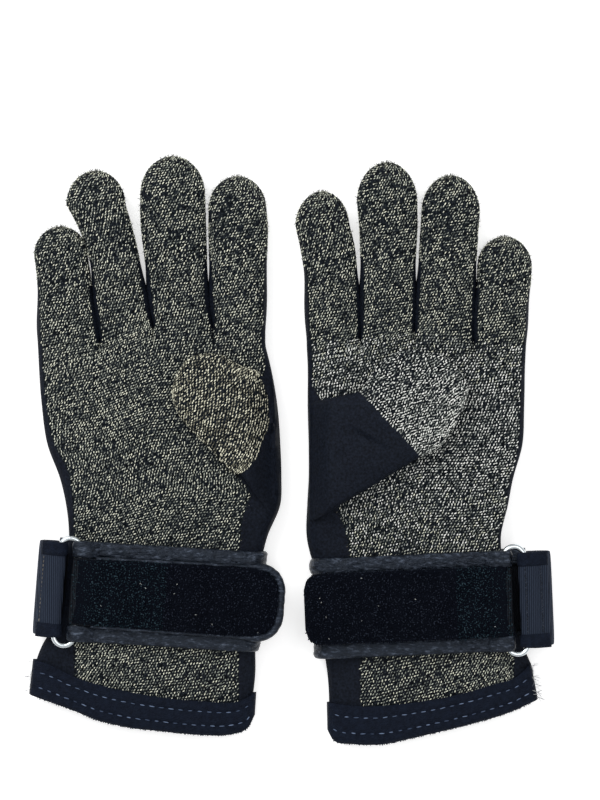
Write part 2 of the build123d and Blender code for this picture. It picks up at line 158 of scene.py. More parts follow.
def skin(name, grid, keep=None, closed=True, tip=None, foot=None):
    """A mesh on the rows and columns of grid. keep(row, column) picks its faces; tip closes the last
    row and foot the first."""
    rows, columns = grid.shape[:2]
    points = grid.reshape(-1, 3)
    last = columns if closed else columns - 1
    j, i = np.meshgrid(np.arange(rows - 1), np.arange(last), indexing="ij")
    chosen = np.ones(j.shape, bool) if keep is None else keep(j, i)
    j, i = j[chosen], i[chosen]
    n = (i + 1) % columns
    faces = np.stack([j * columns + i, j * columns + n, (j + 1) * columns + n, (j + 1) * columns + i], 1)
    faces = [tuple(f) for f in faces]
    if tip is not None:
        points = np.vstack([points, tip])
        end, first = len(points) - 1, (rows - 1) * columns
        faces += [(first + i, first + (i + 1) % columns, end) for i in range(columns)]
    if foot is not None:
        points = np.vstack([points, foot])
        faces += [((i + 1) % columns, i, len(points) - 1) for i in range(columns)]
    used = sorted({v for f in faces for v in f})
    renumber = {v: n for n, v in enumerate(used)}
    mesh = bpy.data.meshes.new(name)
    mesh.from_pydata((points[used] * MM).tolist(), [], [[renumber[v] for v in f] for f in faces])
    mesh.update()
    mesh.shade_smooth()
    piece = bpy.data.objects.new(name, mesh)
    bpy.context.scene.collection.objects.link(piece)
    return piece


def thicken(piece, wall):
    """Gives a skin its cloth's thickness, inwards."""
    cloth = piece.modifiers.new("wall", "SOLIDIFY")
    cloth.thickness, cloth.offset, cloth.use_even_offset = wall * MM, -1, False
    settle(piece)
    piece.data.set_sharp_from_angle(angle=radians(50))


def settle(piece):
    """Makes a piece's modifiers part of its mesh."""
    seen = bpy.context.evaluated_depsgraph_get()
    made = bpy.data.meshes.new_from_object(piece.evaluated_get(seen))
    piece.modifiers.clear()
    piece.data = made


def shader(name):
    """A new material: its nodes, its links and its main shader."""
    material = bpy.data.materials.new(name)
    material.use_nodes = True
    return material, material.node_tree, material.node_tree.nodes["Principled BSDF"]


def place_of(tree, stretch=(1, 1, 1)):
    """The place on the piece, in metres, stretched for a pattern with a direction."""
    where = tree.nodes.new("ShaderNodeTexCoord")
    turn = tree.nodes.new("ShaderNodeMapping")
    turn.inputs["Scale"].default_value = stretch
    tree.links.new(where.outputs["Object"], turn.inputs["Vector"])
    return turn.outputs["Vector"]


def grain(tree, place, scale, detail=3.0, roughness=0.55):
    """Cloudy unevenness, about 0.5."""
    pattern = tree.nodes.new("ShaderNodeTexNoise")
    pattern.inputs["Scale"].default_value = scale
    pattern.inputs["Detail"].default_value = detail
    pattern.inputs["Roughness"].default_value = roughness
    tree.links.new(place, pattern.inputs["Vector"])
    return pattern.outputs["Fac"]


def cells(tree, place, scale):
    """Small rounded cells: 0 at the middle of each and higher towards its edge."""
    pattern = tree.nodes.new("ShaderNodeTexVoronoi")
    pattern.inputs["Scale"].default_value = scale
    tree.links.new(place, pattern.inputs["Vector"])
    return pattern.outputs["Distance"]


def shades(tree, value, stops):
    """Colours picked by a value: stops are (value, colour)."""
    ramp = tree.nodes.new("ShaderNodeValToRGB")
    steps = ramp.color_ramp.elements
    while len(steps) < len(stops):
        steps.new(0.5)
    for step, (at, colour) in zip(steps, stops):
        step.position, step.color = at, colour
    tree.links.new(value, ramp.inputs["Fac"])
    return ramp.outputs["Color"]


def relief(tree, main, height, depth, strength=1.0):
    """Raises the surface by a pattern, depth in millimetres."""
    bump = tree.nodes.new("ShaderNodeBump")
    bump.inputs["Distance"].default_value = depth * MM
    bump.inputs["Strength"].default_value = strength
    tree.links.new(height, bump.inputs["Height"])
    tree.links.new(bump.outputs["Normal"], main.inputs["Normal"])


def knit_ground():
    """The dark ground of the knit between its light yarns: charcoal aramid, hairy and uneven."""
    material, tree, main = shader("knit_ground")
    speck = cells(tree, place_of(tree), 950)
    stops = [(0.0, srgb(46, 51, 56)), (0.45, srgb(20, 25, 31)), (0.8, srgb(5, 8, 12))]
    tree.links.new(shades(tree, speck, stops), main.inputs["Base Color"])
    relief(tree, main, speck, -0.5)
    main.inputs["Roughness"].default_value = 0.85
    main.inputs["Specular IOR Level"].default_value = 0.08
    return material


def jersey(name, colour, light):
    """Neoprene faced with fine navy jersey."""
    material, tree, main = shader(name)
    ribs = grain(tree, place_of(tree, (2600, 700, 1500)), 1.0, 1.0)
    cloud = grain(tree, place_of(tree), 850, 3.0, 0.6)
    tree.links.new(shades(tree, cloud, [(0.33, colour), (0.67, light)]), main.inputs["Base Color"])
    relief(tree, main, ribs, 0.2)
    main.inputs["Roughness"].default_value = 0.72
    main.inputs["Specular IOR Level"].default_value = 0.12
    return material


KNIT = knit_ground()
NEOPRENE = jersey("neoprene_jersey", srgb(4, 8, 17), srgb(21, 27, 39))
KNIT_WALL, NEOPRENE_WALL = 1.8, 2.0

# y of each round, then the hand's low and high x there
HAND_EDGES = {
    "right": [(52, -126, -13), (42, -125.5, -10.5), (22, -124, -7), (2, -121, -5.5), (-14, -115, -5),
              (-27, -112, -5.5), (-43, -110.5, -12), (-62, -112, -16), (-85, -116, -18), (-98, -123, -18),
              (-112, -127, -18), (-130, -128, -20)],
    "left": [(52, 7.5, 116.5), (42, 8, 116), (22, 8, 115.5), (2, 8.5, 114.5), (-14, 8.5, 110),
             (-27, 7.8, 107.5), (-43, 7.5, 104), (-62, 12, 106), (-85, 15, 110), (-98, 16, 114),
             (-112, 18, 118.5), (-132, 19, 121)],
}
# y, then where the knit palm ends at the low and high side
KNIT_EDGES = {
    "right": [(52, -124.3, -14.8), (42, -123.4, -12.8), (28, -122, -17), (2, -117, -27),
              (-12, -110, -26.5), (-22, -108.6, -20.5), (-33, -108, -23.8), (-48, -108, -25.5),
              (-98, -108, -26), (-130, -108, -26)],
    "left": [(52, 9.5, 114.6), (42, 10, 114), (31, 10.5, 113.6), (23, 15, 113.2), (2, 20, 112.3),
             (-24, 21, 106.5), (-32, 23.5, 106.3), (-40, 26.5, 103), (-54, 29, 104), (-85, 33, 108),
             (-98, 33.5, 110), (-132, 34, 110.5)],
}
# x, then the y where the cloth ends inside the hem
CUFF_ENDS = {
    "right": [(-127, -114), (-108, -120), (-88, -127), (-66, -131), (-28, -132), (-20, -128)],
    "left": [(19, -134), (44, -137), (74, -132), (104, -123), (120, -115)],
}
# y, then the top and the underside of the hand
HAND_HEIGHTS = [(62, 16.2, 0.2), (40, 17.6, 0), (0, 18, 0), (-20, 17.8, 0), (-32, 16.4, 0.6),
                (-44, 14.8, 2.8), (-62, 14.4, 3), (-96, 14.2, 3), (-106, 12.8, 2), (-118, 11.4, 1.6),
                (-134, 10.4, 1.6)]
# the two ends of the row of fingers and the forks between them, in order of x
FORKS = {
    "right": [(-126, 51), (-95, 53), (-68.5, 61), (-39, 60), (-13, 58.5)],
    "left": [(7.5, 54), (34, 55), (60.8, 58.5), (90.4, 53.5), (116.5, 52)],
}
FINGER_ORDER = {
    "right": ["little", "ring", "middle", "index"],
    "left": ["index", "middle", "ring", "little"],
}
FINGER_COLUMNS = 16
BORDER_COLUMN = 3
HAND_ROWS = 78


def fork_row(side):
    """The last round of the hand, where the fingers start: closer columns at the forks."""
    spread = (1 - np.cos(np.linspace(0, pi, FINGER_COLUMNS + 1))) / 2
    forks = np.array(FORKS[side], float)
    row = [forks[0]]
    for start, end in zip(forks, forks[1:]):
        row += [start + (end - start) * part for part in spread[1:]]
    return np.array(row)


def hand_plan(side):
    """Where every column of every round of the hand lies, seen from above."""
    end = fork_row(side)
    columns = len(end)
    marks = [0, BORDER_COLUMN, *range(FINGER_COLUMNS, columns - 1, FINGER_COLUMNS),
             columns - 1 - BORDER_COLUMN, columns - 1]
    low_y = HAND_EDGES[side][-1][0]
    down = np.linspace(0, 1, HAND_ROWS)[:, None]
    y = low_y + (end[:, 1] - low_y) * down
    edges, borders = through(HAND_EDGES[side], y), through(KNIT_EDGES[side], y)
    inner = (end[marks[2:-2], 0] - end[marks[1], 0]) / (end[marks[-2], 0] - end[marks[1], 0])
    plan = np.zeros((HAND_ROWS, columns, 2))
    for row in range(HAND_ROWS):
        low, high = edges[row, 0, 0], edges[row, -1, 1]
        knit_low, knit_high = borders[row, 0, 0], borders[row, -1, 1]
        x_marks = [low, knit_low, *(knit_low + (knit_high - knit_low) * inner), knit_high, high]
        plan[row, :, 0] = np.interp(end[:, 0], end[marks, 0], x_marks)
    cuff = np.interp(plan[0, :, 0], *zip(*CUFF_ENDS[side]))
    plan[:, :, 1] = y + (cuff - low_y) * np.clip(1 - down / 0.3, 0, 1) ** 2
    plan[-1] = end
    return plan


def lobes(plan):
    """Each column's share of the hand's height: 0 at a fork, and all of it further down the palm."""
    columns = plan.shape[1]
    part = np.arange(columns) % FINGER_COLUMNS / FINGER_COLUMNS
    t = np.abs(np.cos(part * pi))
    arc = np.maximum(1 - t ** 2.4, 0) ** (1 / 2.4)
    arc[[0, -1]] = 1
    outer = np.zeros(columns)
    outer[: FINGER_COLUMNS // 2] = outer[-FINGER_COLUMNS // 2:] = 1
    arc = np.where(outer > 0, 1, arc)
    away = np.clip((plan[-1, :, 1] - plan[:, :, 1]) / 15, 0, 1)
    fade = 1 - (1 - away) ** 2.2
    return arc + (1 - arc) * fade


def hand_grid(side):
    """A hand's rounds, with the slack unevenness of an empty glove on its palm."""
    plan = hand_plan(side)
    level = through(HAND_HEIGHTS, plan[:, :, 1].mean(axis=1))
    power = np.interp(plan[:, :, 1].mean(axis=1), [-60, -30, 20, 58], [3.2, 3.4, 4.2, 3.0])
    grid = rounds(plan, level[:, 0], level[:, 1], power, lobes(plan))
    columns = plan.shape[1]
    x, y = grid[:, :columns, 0], grid[:, :columns, 1]
    fade = np.clip((grid[:, :columns, 2] - 9) / 6, 0, 1) * np.clip((y + 128) / 20, 0, 1)
    swell = 0.9 * wavering(x, y, 26, 3.0) + 0.45 * wavering(x, y, 9, 7.0)
    grid[:, :columns, 2] += swell * fade
    return grid


def knit_faces(side_grid):
    """Picks the faces of a hand's knit palm out of its rounds."""
    top = (side_grid.shape[1] + 2) // 2
    return lambda j, i: (i >= BORDER_COLUMN) & (i < top - 1 - BORDER_COLUMN)


hands = {}
for side in ("right", "left"):
    grid = hands[side] = hand_grid(side)
    is_knit = knit_faces(grid)
    palm = skin(f"{side}_palm", grid, is_knit)
    thicken(palm, KNIT_WALL)
    palm.data.materials.append(KNIT)
    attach(palm, f"{side}_hand")
    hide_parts(f"{side}_palm_knit")
    back = skin(f"{side}_back", grid, lambda j, i: ~is_knit(j, i))
    thicken(back, NEOPRENE_WALL)
    back.data.materials.append(NEOPRENE)
    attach(back, f"{side}_hand")
    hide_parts(f"{side}_hand_back", f"{side}_thumb_gusset")

# ------------------------------------------------------------------ finger stalls
# A stall is a knit front and a neoprene back as far as the knuckle, and a knit cap that wraps the
# finger all round from there to its tip.

# y, then the stall's low and high x there; after them the y of the tip and how far back it rounds
STALLS = {
    "right": {
        "index": ([(72, -39.8, -12.8), (95, -41, -12.2), (112, -41.3, -11.8), (121, -41.2, -12.6)], 136, 16),
        "middle": ([(72, -70, -41.4), (95, -73, -42), (115, -75.2, -42.6), (127, -75.2, -43)], 146, 19),
        "ring": ([(72, -97.4, -71.5), (95, -100.6, -75.5), (112, -106.6, -79.5), (122, -112, -82.6)],
                 138.8, 17),
        "little": ([(72, -126, -98.2), (88, -126.8, -100), (97, -128, -101.4)], 111, 14),
    },
    "left": {
        "index": ([(72, 7, 33.6), (90, 6, 32.6), (103, 3.8, 31), (112, 1.8, 28.8)], 128.5, 18),
        "middle": ([(72, 34.5, 60.9), (95, 34.2, 61.8), (113, 33.5, 62.6), (124, 32.4, 62.5)], 143, 20),
        "ring": ([(72, 62, 90.6), (95, 63.2, 92), (108, 64, 92.8), (118, 64.6, 93.6)], 136.5, 18.5),
        "little": ([(72, 91, 117.6), (84, 92, 119), (92, 92.4, 119.4)], 106, 15),
    },
}
STALL_ROWS = 40
TIP_ROWS = 14
SIDE_COLUMNS = 2
KNUCKLES = {side: {finger: joints[f"{side}_{finger}_finger_knuckle_bend"]["pos_m"][1] / MM
                   for finger in FINGER_ORDER[side]} for side in FINGER_ORDER}


def stall_grid(side, number, finger):
    """One finger's rounds, from the hand's last round to the tip's last round, and the tip."""
    knots, tip_y, rounding = STALLS[side][finger]
    hand = hands[side]
    first = number * FINGER_COLUMNS
    columns = np.arange(first, first + FINGER_COLUMNS + 1)
    start = fork_row(side)[columns]
    spread = (start[:, 0] - start[0, 0]) / (start[-1, 0] - start[0, 0])
    base_y = start[:, 1].mean()
    shoulder = tip_y - rounding
    steps = np.concatenate([np.linspace(base_y, shoulder, STALL_ROWS - TIP_ROWS, endpoint=False),
                            shoulder + rounding * np.sin(np.linspace(0, 0.985 * pi / 2, TIP_ROWS))])
    knots = [(base_y, start[0, 0], start[-1, 0]), *knots]
    wide = through(knots, np.minimum(steps, knots[-1][0]))
    middle, half = wide.mean(axis=1), (wide[:, 1] - wide[:, 0]) / 2
    past = np.clip((steps - shoulder) / rounding, 0, 1)
    half = half * np.sqrt(1 - past ** 2)
    plan = np.zeros((STALL_ROWS, FINGER_COLUMNS + 1, 2))
    plan[:, :, 0] = (middle - half)[:, None] + 2 * half[:, None] * spread
    ease = np.clip(1 - (steps - base_y) / 14, 0, 1)[:, None] ** 2
    plan[:, :, 1] = steps[:, None] + (start[:, 1] - base_y) * ease
    top = np.interp(steps, [base_y, base_y + 25, shoulder, tip_y], [16.2, 16, 15.2, 13])
    low = np.interp(steps, [base_y, shoulder, tip_y], [0.2, 0.1, 1.6])
    shrink = np.sqrt(1 - past ** 2.4)
    middle_z = (top + low) / 2
    top, low = middle_z + (top - middle_z) * shrink, middle_z + (low - middle_z) * shrink
    grid = rounds(plan, top, low, 2.5)
    x, y = grid[:, : FINGER_COLUMNS + 1, 0], grid[:, : FINGER_COLUMNS + 1, 1]
    loft = np.clip((grid[:, : FINGER_COLUMNS + 1, 2] - 8) / 5, 0, 1)
    grid[:, : FINGER_COLUMNS + 1, 2] += loft * (0.7 * wavering(x, y, 14, 11.0 + number))
    # it swells between base and knuckle, less on the hand's outer sides
    swell = np.clip((steps - base_y) / (KNUCKLES[side][finger] - base_y), 0, 1)
    swell = 1.9 * np.sin(pi * swell) ** 1.3 * np.clip(1.25 - swell, 0, 1)
    near, far = (0.5 if number == 0 else 1), (0.4 if number == 3 else 1)
    for column, share in ((0, 1), (1, 0.4), (-1, 0.9), (-2, 0.6)):
        grid[:, column, 0] -= swell * share * near
        grid[:, FINGER_COLUMNS - column, 0] += swell * share * far
    # its first round is the hand's last
    over = hand[-1, columns]
    seam = np.clip(1 - (steps - base_y) / 10, 0, 1)[:, None] ** 2
    grid[:, : FINGER_COLUMNS + 1, 2] += (over[:, 2] - grid[0, : FINGER_COLUMNS + 1, 2]) * seam
    back_columns = (hand.shape[1] - columns[1:-1][::-1]) % hand.shape[1]
    below = hand[-1, back_columns]
    grid[:, FINGER_COLUMNS + 1:, 2] += (below[:, 2] - grid[0, FINGER_COLUMNS + 1:, 2]) * seam
    tip = [middle[-1], tip_y, middle_z[-1]]
    return grid, steps, tip


stalls = {}
for side in ("right", "left"):
    for number, finger in enumerate(FINGER_ORDER[side]):
        grid, steps, tip = stall_grid(side, number, finger)
        name = f"{side}_{finger}_finger"
        base_at, knuckle_at = (joints[f"{name}_{j}_bend"]["pos_m"] for j in ("base", "knuckle"))
        cut = int(np.searchsorted(steps, knuckle_at[1] / MM))
        stalls[name] = (grid, steps, cut, tip)
        is_front = lambda j, i: (i >= SIDE_COLUMNS) & (i < FINGER_COLUMNS - SIDE_COLUMNS)
        front = skin(f"{name}_knit", grid[: cut + 1], is_front)
        sides = skin(f"{name}_sides", grid[: cut + 1], lambda j, i: ~is_front(j, i))
        for piece, cloth, wall, node, kind in ((front, KNIT, KNIT_WALL, "front", "aramid_knit"),
                                               (sides, NEOPRENE, NEOPRENE_WALL, "back", "neoprene")):
            thicken(piece, wall)
            piece.data.materials.append(cloth)
            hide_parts(f"{name}_{node}")
            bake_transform(piece)
        cap = skin(f"{name}_knit_cap", grid[cut:], tip=tip)
        thicken(cap, KNIT_WALL)
        cap.data.materials.append(KNIT)
        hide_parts(f"{name}_cap")
        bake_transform(cap)

# ------------------------------------------------------------------ the knit's light yarns
# Light glass-cored yarns come to the face of the knit as short slanting strokes, one to a loop,
# with the dark aramid between them. Each is a bead of yarn laid on the cloth.


def laid_threads():
    """Lays a bead of thread on every point, its length along 'along' and its back to 'out'."""
    tree = bpy.data.node_groups.new("laid_threads", "GeometryNodeTree")
    add, link = tree.nodes.new, tree.links.new
    tree.interface.new_socket("Geometry", in_out="INPUT", socket_type="NodeSocketGeometry")
    tree.interface.new_socket("Geometry", in_out="OUTPUT", socket_type="NodeSocketGeometry")
    for name in ("Width", "Length", "Height", "Lean", "Lean Spread", "Size Spread"):
        tree.interface.new_socket(name, in_out="INPUT", socket_type="NodeSocketFloat")
    tree.interface.new_socket("Seed", in_out="INPUT", socket_type="NodeSocketInt")
    tree.interface.new_socket("Roundness", in_out="INPUT", socket_type="NodeSocketInt")
    tree.interface.new_socket("Material", in_out="INPUT", socket_type="NodeSocketMaterial")
    given, result = add("NodeGroupInput"), add("NodeGroupOutput")

    def fill(socket, value):
        if isinstance(value, (int, float)):
            socket.default_value = value
        else:
            link(value, socket)

    def known(name):
        read = add("GeometryNodeInputNamedAttribute")
        read.data_type = "FLOAT_VECTOR"
        read.inputs["Name"].default_value = name
        return read.outputs["Attribute"]

    def chance(low, high, step):
        pick = add("FunctionNodeRandomValue")
        pick.data_type = "FLOAT"
        fill(pick.inputs[2], low)
        fill(pick.inputs[3], high)
        shifted = add("ShaderNodeMath")
        link(given.outputs["Seed"], shifted.inputs[0])
        shifted.inputs[1].default_value = step
        link(shifted.outputs[0], pick.inputs["Seed"])
        return pick.outputs[1]

    def reckon(kind, first, second):
        work = add("ShaderNodeMath")
        work.operation = kind
        fill(work.inputs[0], first)
        fill(work.inputs[1], second)
        return work.outputs[0]

    upright = add("FunctionNodeAlignRotationToVector")
    upright.axis = "Z"
    link(known("out"), upright.inputs["Vector"])
    lengthwise = add("FunctionNodeAlignRotationToVector")
    lengthwise.axis, lengthwise.pivot_axis = "Y", "Z"
    link(upright.outputs["Rotation"], lengthwise.inputs["Rotation"])
    link(known("along"), lengthwise.inputs["Vector"])
    lean = add("FunctionNodeAxisAngleToRotation")
    lean.inputs["Axis"].default_value = (0, 0, 1)
    spread = reckon("MULTIPLY", given.outputs["Lean Spread"], chance(-1.0, 1.0, 1))
    link(reckon("ADD", given.outputs["Lean"], spread), lean.inputs["Angle"])
    turned = add("FunctionNodeRotateRotation")
    turned.rotation_space = "LOCAL"
    link(lengthwise.outputs["Rotation"], turned.inputs["Rotation"])
    link(lean.outputs["Rotation"], turned.inputs["Rotate By"])

    bead = add("GeometryNodeMeshIcoSphere")
    bead.inputs["Radius"].default_value = 0.5
    link(given.outputs["Roundness"], bead.inputs["Subdivisions"])
    size = add("ShaderNodeCombineXYZ")
    for number, name in enumerate(("Width", "Length", "Height")):
        low = reckon("SUBTRACT", 1.0, given.outputs["Size Spread"])
        high = reckon("ADD", 1.0, given.outputs["Size Spread"])
        link(reckon("MULTIPLY", given.outputs[name], chance(low, high, 2 + number)), size.inputs[number])
    laid = add("GeometryNodeInstanceOnPoints")
    link(given.outputs["Geometry"], laid.inputs["Points"])
    link(bead.outputs["Mesh"], laid.inputs["Instance"])
    link(turned.outputs["Rotation"], laid.inputs["Rotation"])
    link(size.outputs["Vector"], laid.inputs["Scale"])
    tone = add("GeometryNodeStoreNamedAttribute")
    tone.data_type, tone.domain = "FLOAT", "INSTANCE"
    tone.inputs["Name"].default_value = "tone"
    link(laid.outputs["Instances"], tone.inputs["Geometry"])
    link(chance(0.0, 1.0, 9), tone.inputs["Value"])
    real = add("GeometryNodeRealizeInstances")
    link(tone.outputs["Geometry"], real.inputs["Geometry"])
    smooth = add("GeometryNodeSetShadeSmooth")
    link(real.outputs["Geometry"], smooth.inputs["Geometry"])
    dyed = add("GeometryNodeSetMaterial")
    link(smooth.outputs["Geometry"], dyed.inputs["Geometry"])
    link(given.outputs["Material"], dyed.inputs["Material"])
    link(dyed.outputs["Geometry"], result.inputs["Geometry"])
    return tree


THREADS = laid_threads()


def threads(name, places, outward, along, material, seed, width, length, height,
            lean=0.0, lean_spread=0.0, size_spread=0.15, roundness=1):
    """A piece made of beads of thread at the places given, sizes in millimetres."""
    mesh = bpy.data.meshes.new(name)
    mesh.from_pydata((np.asarray(places) * MM).tolist(), [], [])
    for key, values in (("out", outward), ("along", along)):
        mesh.attributes.new(key, "FLOAT_VECTOR", "POINT").data.foreach_set(
            "vector", np.asarray(values, np.float32).ravel())
    piece = bpy.data.objects.new(name, mesh)
    bpy.context.scene.collection.objects.link(piece)
    layer = piece.modifiers.new("threads", "NODES")
    layer.node_group = THREADS
    sizes = {"Width": width * MM, "Length": length * MM, "Height": height * MM, "Lean": lean,
             "Lean Spread": lean_spread, "Size Spread": size_spread, "Seed": seed,
             "Roundness": roundness, "Material": material}
    for socket in THREADS.interface.items_tree:
        if socket.in_out == "INPUT" and socket.name in sizes:
            layer[socket.identifier] = sizes[socket.name]
    settle(piece)
    return piece


def on_strip(strip, row, column):
    """Places on a strip of skin at rows and columns counted in parts."""
    row, column = np.clip(row, 0, len(strip) - 1.001), np.clip(column, 0, strip.shape[1] - 1.001)
    j, i = row.astype(int), column.astype(int)
    a, b = (row - j)[:, None], (column - i)[:, None]
    return ((strip[j, i] * (1 - b) + strip[j, i + 1] * b) * (1 - a)
            + (strip[j + 1, i] * (1 - b) + strip[j + 1, i + 1] * b) * a)


def loop_places(strip, wale, course, seed, skip=0.06, jitter=0.17, slant=0.14):
    """Where the loops of a knit lie on a strip of skin: even columns from its middle, and even rows
    that climb across it by slant. Fewer show where the strip turns down at its edges: painted shade."""
    chance = np.random.default_rng(seed)
    steps = np.linalg.norm(np.diff(strip, axis=0), axis=2).mean(axis=1)
    run = np.concatenate([[0], np.cumsum(steps)])
    reach = slant * np.linalg.norm(np.diff(strip, axis=1), axis=2).sum(axis=1).max() / 2
    places, outward, along = [], [], []
    for number, at in enumerate(np.arange(course * 0.3 - reach, run[-1] + reach, course)):
        line = strip[int(np.interp(at, run, np.arange(len(run))))]
        arc = np.concatenate([[0], np.cumsum(np.linalg.norm(np.diff(line, axis=0), axis=1))])
        arc -= arc[len(arc) // 2]
        ticks = np.arange(int(np.ceil(arc[0] / wale)), int(arc[-1] / wale) + 1) + 0.5 * (number % 2)
        ticks = (ticks + chance.uniform(-jitter, jitter, len(ticks))) * wale
        height = at + slant * ticks + chance.uniform(-jitter, jitter, len(ticks)) * course
        kept = (ticks > arc[0] + 0.3) & (ticks < arc[-1] - 0.3) & (chance.random(len(ticks)) > skip)
        kept &= (height > -0.1) & (height < run[-1] + 0.1)
        ticks, height = ticks[kept], height[kept]
        row, column = np.interp(height, run, np.arange(len(run))), np.interp(ticks, arc, np.arange(len(arc)))
        spot = on_strip(strip, row, column)
        up = on_strip(strip, row + 0.5, column) - on_strip(strip, row - 0.5, column)
        face = np.cross(on_strip(strip, row, column + 0.3) - on_strip(strip, row, column - 0.3), up)
        face /= np.maximum(np.linalg.norm(face, axis=1, keepdims=True), 1e-9)
        up /= np.maximum(np.linalg.norm(up, axis=1, keepdims=True), 1e-9)
        # fewer light loops where the surface turns away from the light, which paints shade along the edges
        survives_painted_shade = chance.random(len(ticks)) < 0.45 + face[:, 2] * 0.75
        seen = (face[:, 2] < 0) | survives_painted_shade
        places.append(spot[seen]), outward.append(face[seen]), along.append(up[seen])
    return tuple(np.concatenate(part) for part in (places, outward, along))


def yarn(name, stops):
    """Light yarn, each loop of its own brightness."""
    material, tree, main = shader(name)
    tone = tree.nodes.new("ShaderNodeAttribute")
    tone.attribute_name = "tone"
    tree.links.new(shades(tree, tone.outputs["Fac"], stops), main.inputs["Base Color"])
    main.inputs["Roughness"].default_value = 0.7
    main.inputs["Specular IOR Level"].default_value = 0.15
    return material


LIGHT_YARN = yarn("light_yarn", [(0.0, srgb(76, 81, 79)), (0.3, srgb(138, 143, 134)),
                                 (0.6, srgb(196, 200, 186)), (1.0, srgb(250, 250, 228))])
WARM_YARN = yarn("warm_yarn", [(0.0, srgb(64, 64, 56)), (0.3, srgb(132, 130, 114)),
                               (0.6, srgb(200, 198, 176)), (1.0, srgb(255, 253, 228))])
WORN_YARN = yarn("worn_yarn", [(0.0, srgb(84, 88, 86)), (0.3, srgb(160, 165, 160)),
                               (0.6, srgb(232, 235, 228)), (1.0, srgb(255, 255, 250))])
WALE, COURSE = 1.5, 1.38
THUMB_LOOP = {
    "right": dict(width=0.6, length=1.5, height=0.65, lean=-0.25, lean_spread=0.4, size_spread=0.25),
    "left": dict(width=0.62, length=1.6, height=0.6, lean=-0.5, lean_spread=0.7, size_spread=0.35),
}
LOOP = dict(width=0.54, length=1.45, height=0.55, lean=-0.62, lean_spread=0.55, size_spread=0.26)

for side in ("right", "left"):
    grid = hands[side]
    top = (grid.shape[1] + 2) // 2
    strip = grid[:, BORDER_COLUMN: top - BORDER_COLUMN]
    laid = loop_places(strip, WALE, COURSE, 5)
    # the left palm is worn paler, most of all across its middle
    y = laid[0][:, 1]
    share = np.minimum((y + 75) / 70, (75 - y) / 50) if side == "left" else y * 0
    worn = np.random.default_rng(9).random(len(y)) < share
    for look, chosen, cloth in (("", ~worn, LIGHT_YARN), ("worn_", worn, WORN_YARN)):
        if chosen.any():
            sizes = dict(LOOP, width=0.64) if look else LOOP
            loops = threads(f"{side}_palm_{look}loops", *(part[chosen] for part in laid), cloth, 21, **sizes)
            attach(loops, f"{side}_hand")

for name, (grid, steps, cut, tip) in stalls.items():
    side = name.split("_")[0]
    strip = grid[: cut + 1, SIDE_COLUMNS: FINGER_COLUMNS - SIDE_COLUMNS + 1]
    front = threads(f"{name}_front_loops", *loop_places(strip, WALE, COURSE, 6), LIGHT_YARN, 22, **LOOP)
    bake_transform(front)
    # the cap's strip goes all round the finger, so it starts underneath and its middle is on top
    around = np.roll(grid[cut:], FINGER_COLUMNS // 2, axis=1)
    around = np.concatenate([around, around[:, :1]], axis=1)
    cap = threads(f"{name}_cap_loops", *loop_places(around, WALE, COURSE, 7, 0.16), LIGHT_YARN, 23, **LOOP)
    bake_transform(cap)

# ------------------------------------------------------------------ folded thumbs
# Each thumb is folded over its palm: a navy neoprene sleeve that grows out of the glove's radial
# edge, and a knit cap seamed to it that lies flat on the palm.

# The root and the seam each run from the thumb's first edge to its second, and the two edges run on
# from the ends of the seam to the tip.
THUMBS = {
    "right": {
        "root": [(-11, -31), (-9, 0), (-13.5, 36)],
        "seam": [(-25, -11.5), (-19.5, -6.8), (-14.5, 4), (-11, 14), (-10.5, 26), (-12.5, 34), (-17, 39)],
        "first": [(-25, -11.5), (-31, -9.8), (-35.5, -4), (-42, 3), (-49, 10), (-55.5, 18), (-59, 27)],
        "second": [(-17, 39), (-26, 42), (-33, 46), (-41.5, 47.5), (-49, 45.8), (-55.5, 38.5),
                   (-59, 29)],
        "tip": (-59.3, 28),
    },
    "left": {
        "root": [(10.5, 24), (10, 0), (10.5, -35)],
        "seam": [(33.5, 28.8), (40, 22), (52, 9.5), (63.5, -3)],
        "first": [(33.5, 28.8), (39, 37), (46, 45), (56, 49.8), (68, 48.5), (79, 43.5), (86.5, 33)],
        "second": [(63.5, -3), (68.5, -1), (74, 3), (79, 10), (83, 18), (87, 29)],
        "tip": (87.6, 31),
    },
}
THUMB_WALL = 1.6
THUMB_COLUMNS = 44
SLEEVE_ROWS = 40
CAP_ROWS = 34


def drawn(points, count, shares=None):
    """count places along a line through the points, evenly or at the shares of its length given."""
    points = np.array(points, float)
    run = np.concatenate([[0], np.cumsum(np.linalg.norm(np.diff(points, axis=0), axis=1))])
    shares = np.linspace(0, 1, count) if shares is None else shares
    return through(np.column_stack([run / run[-1], points]), shares)


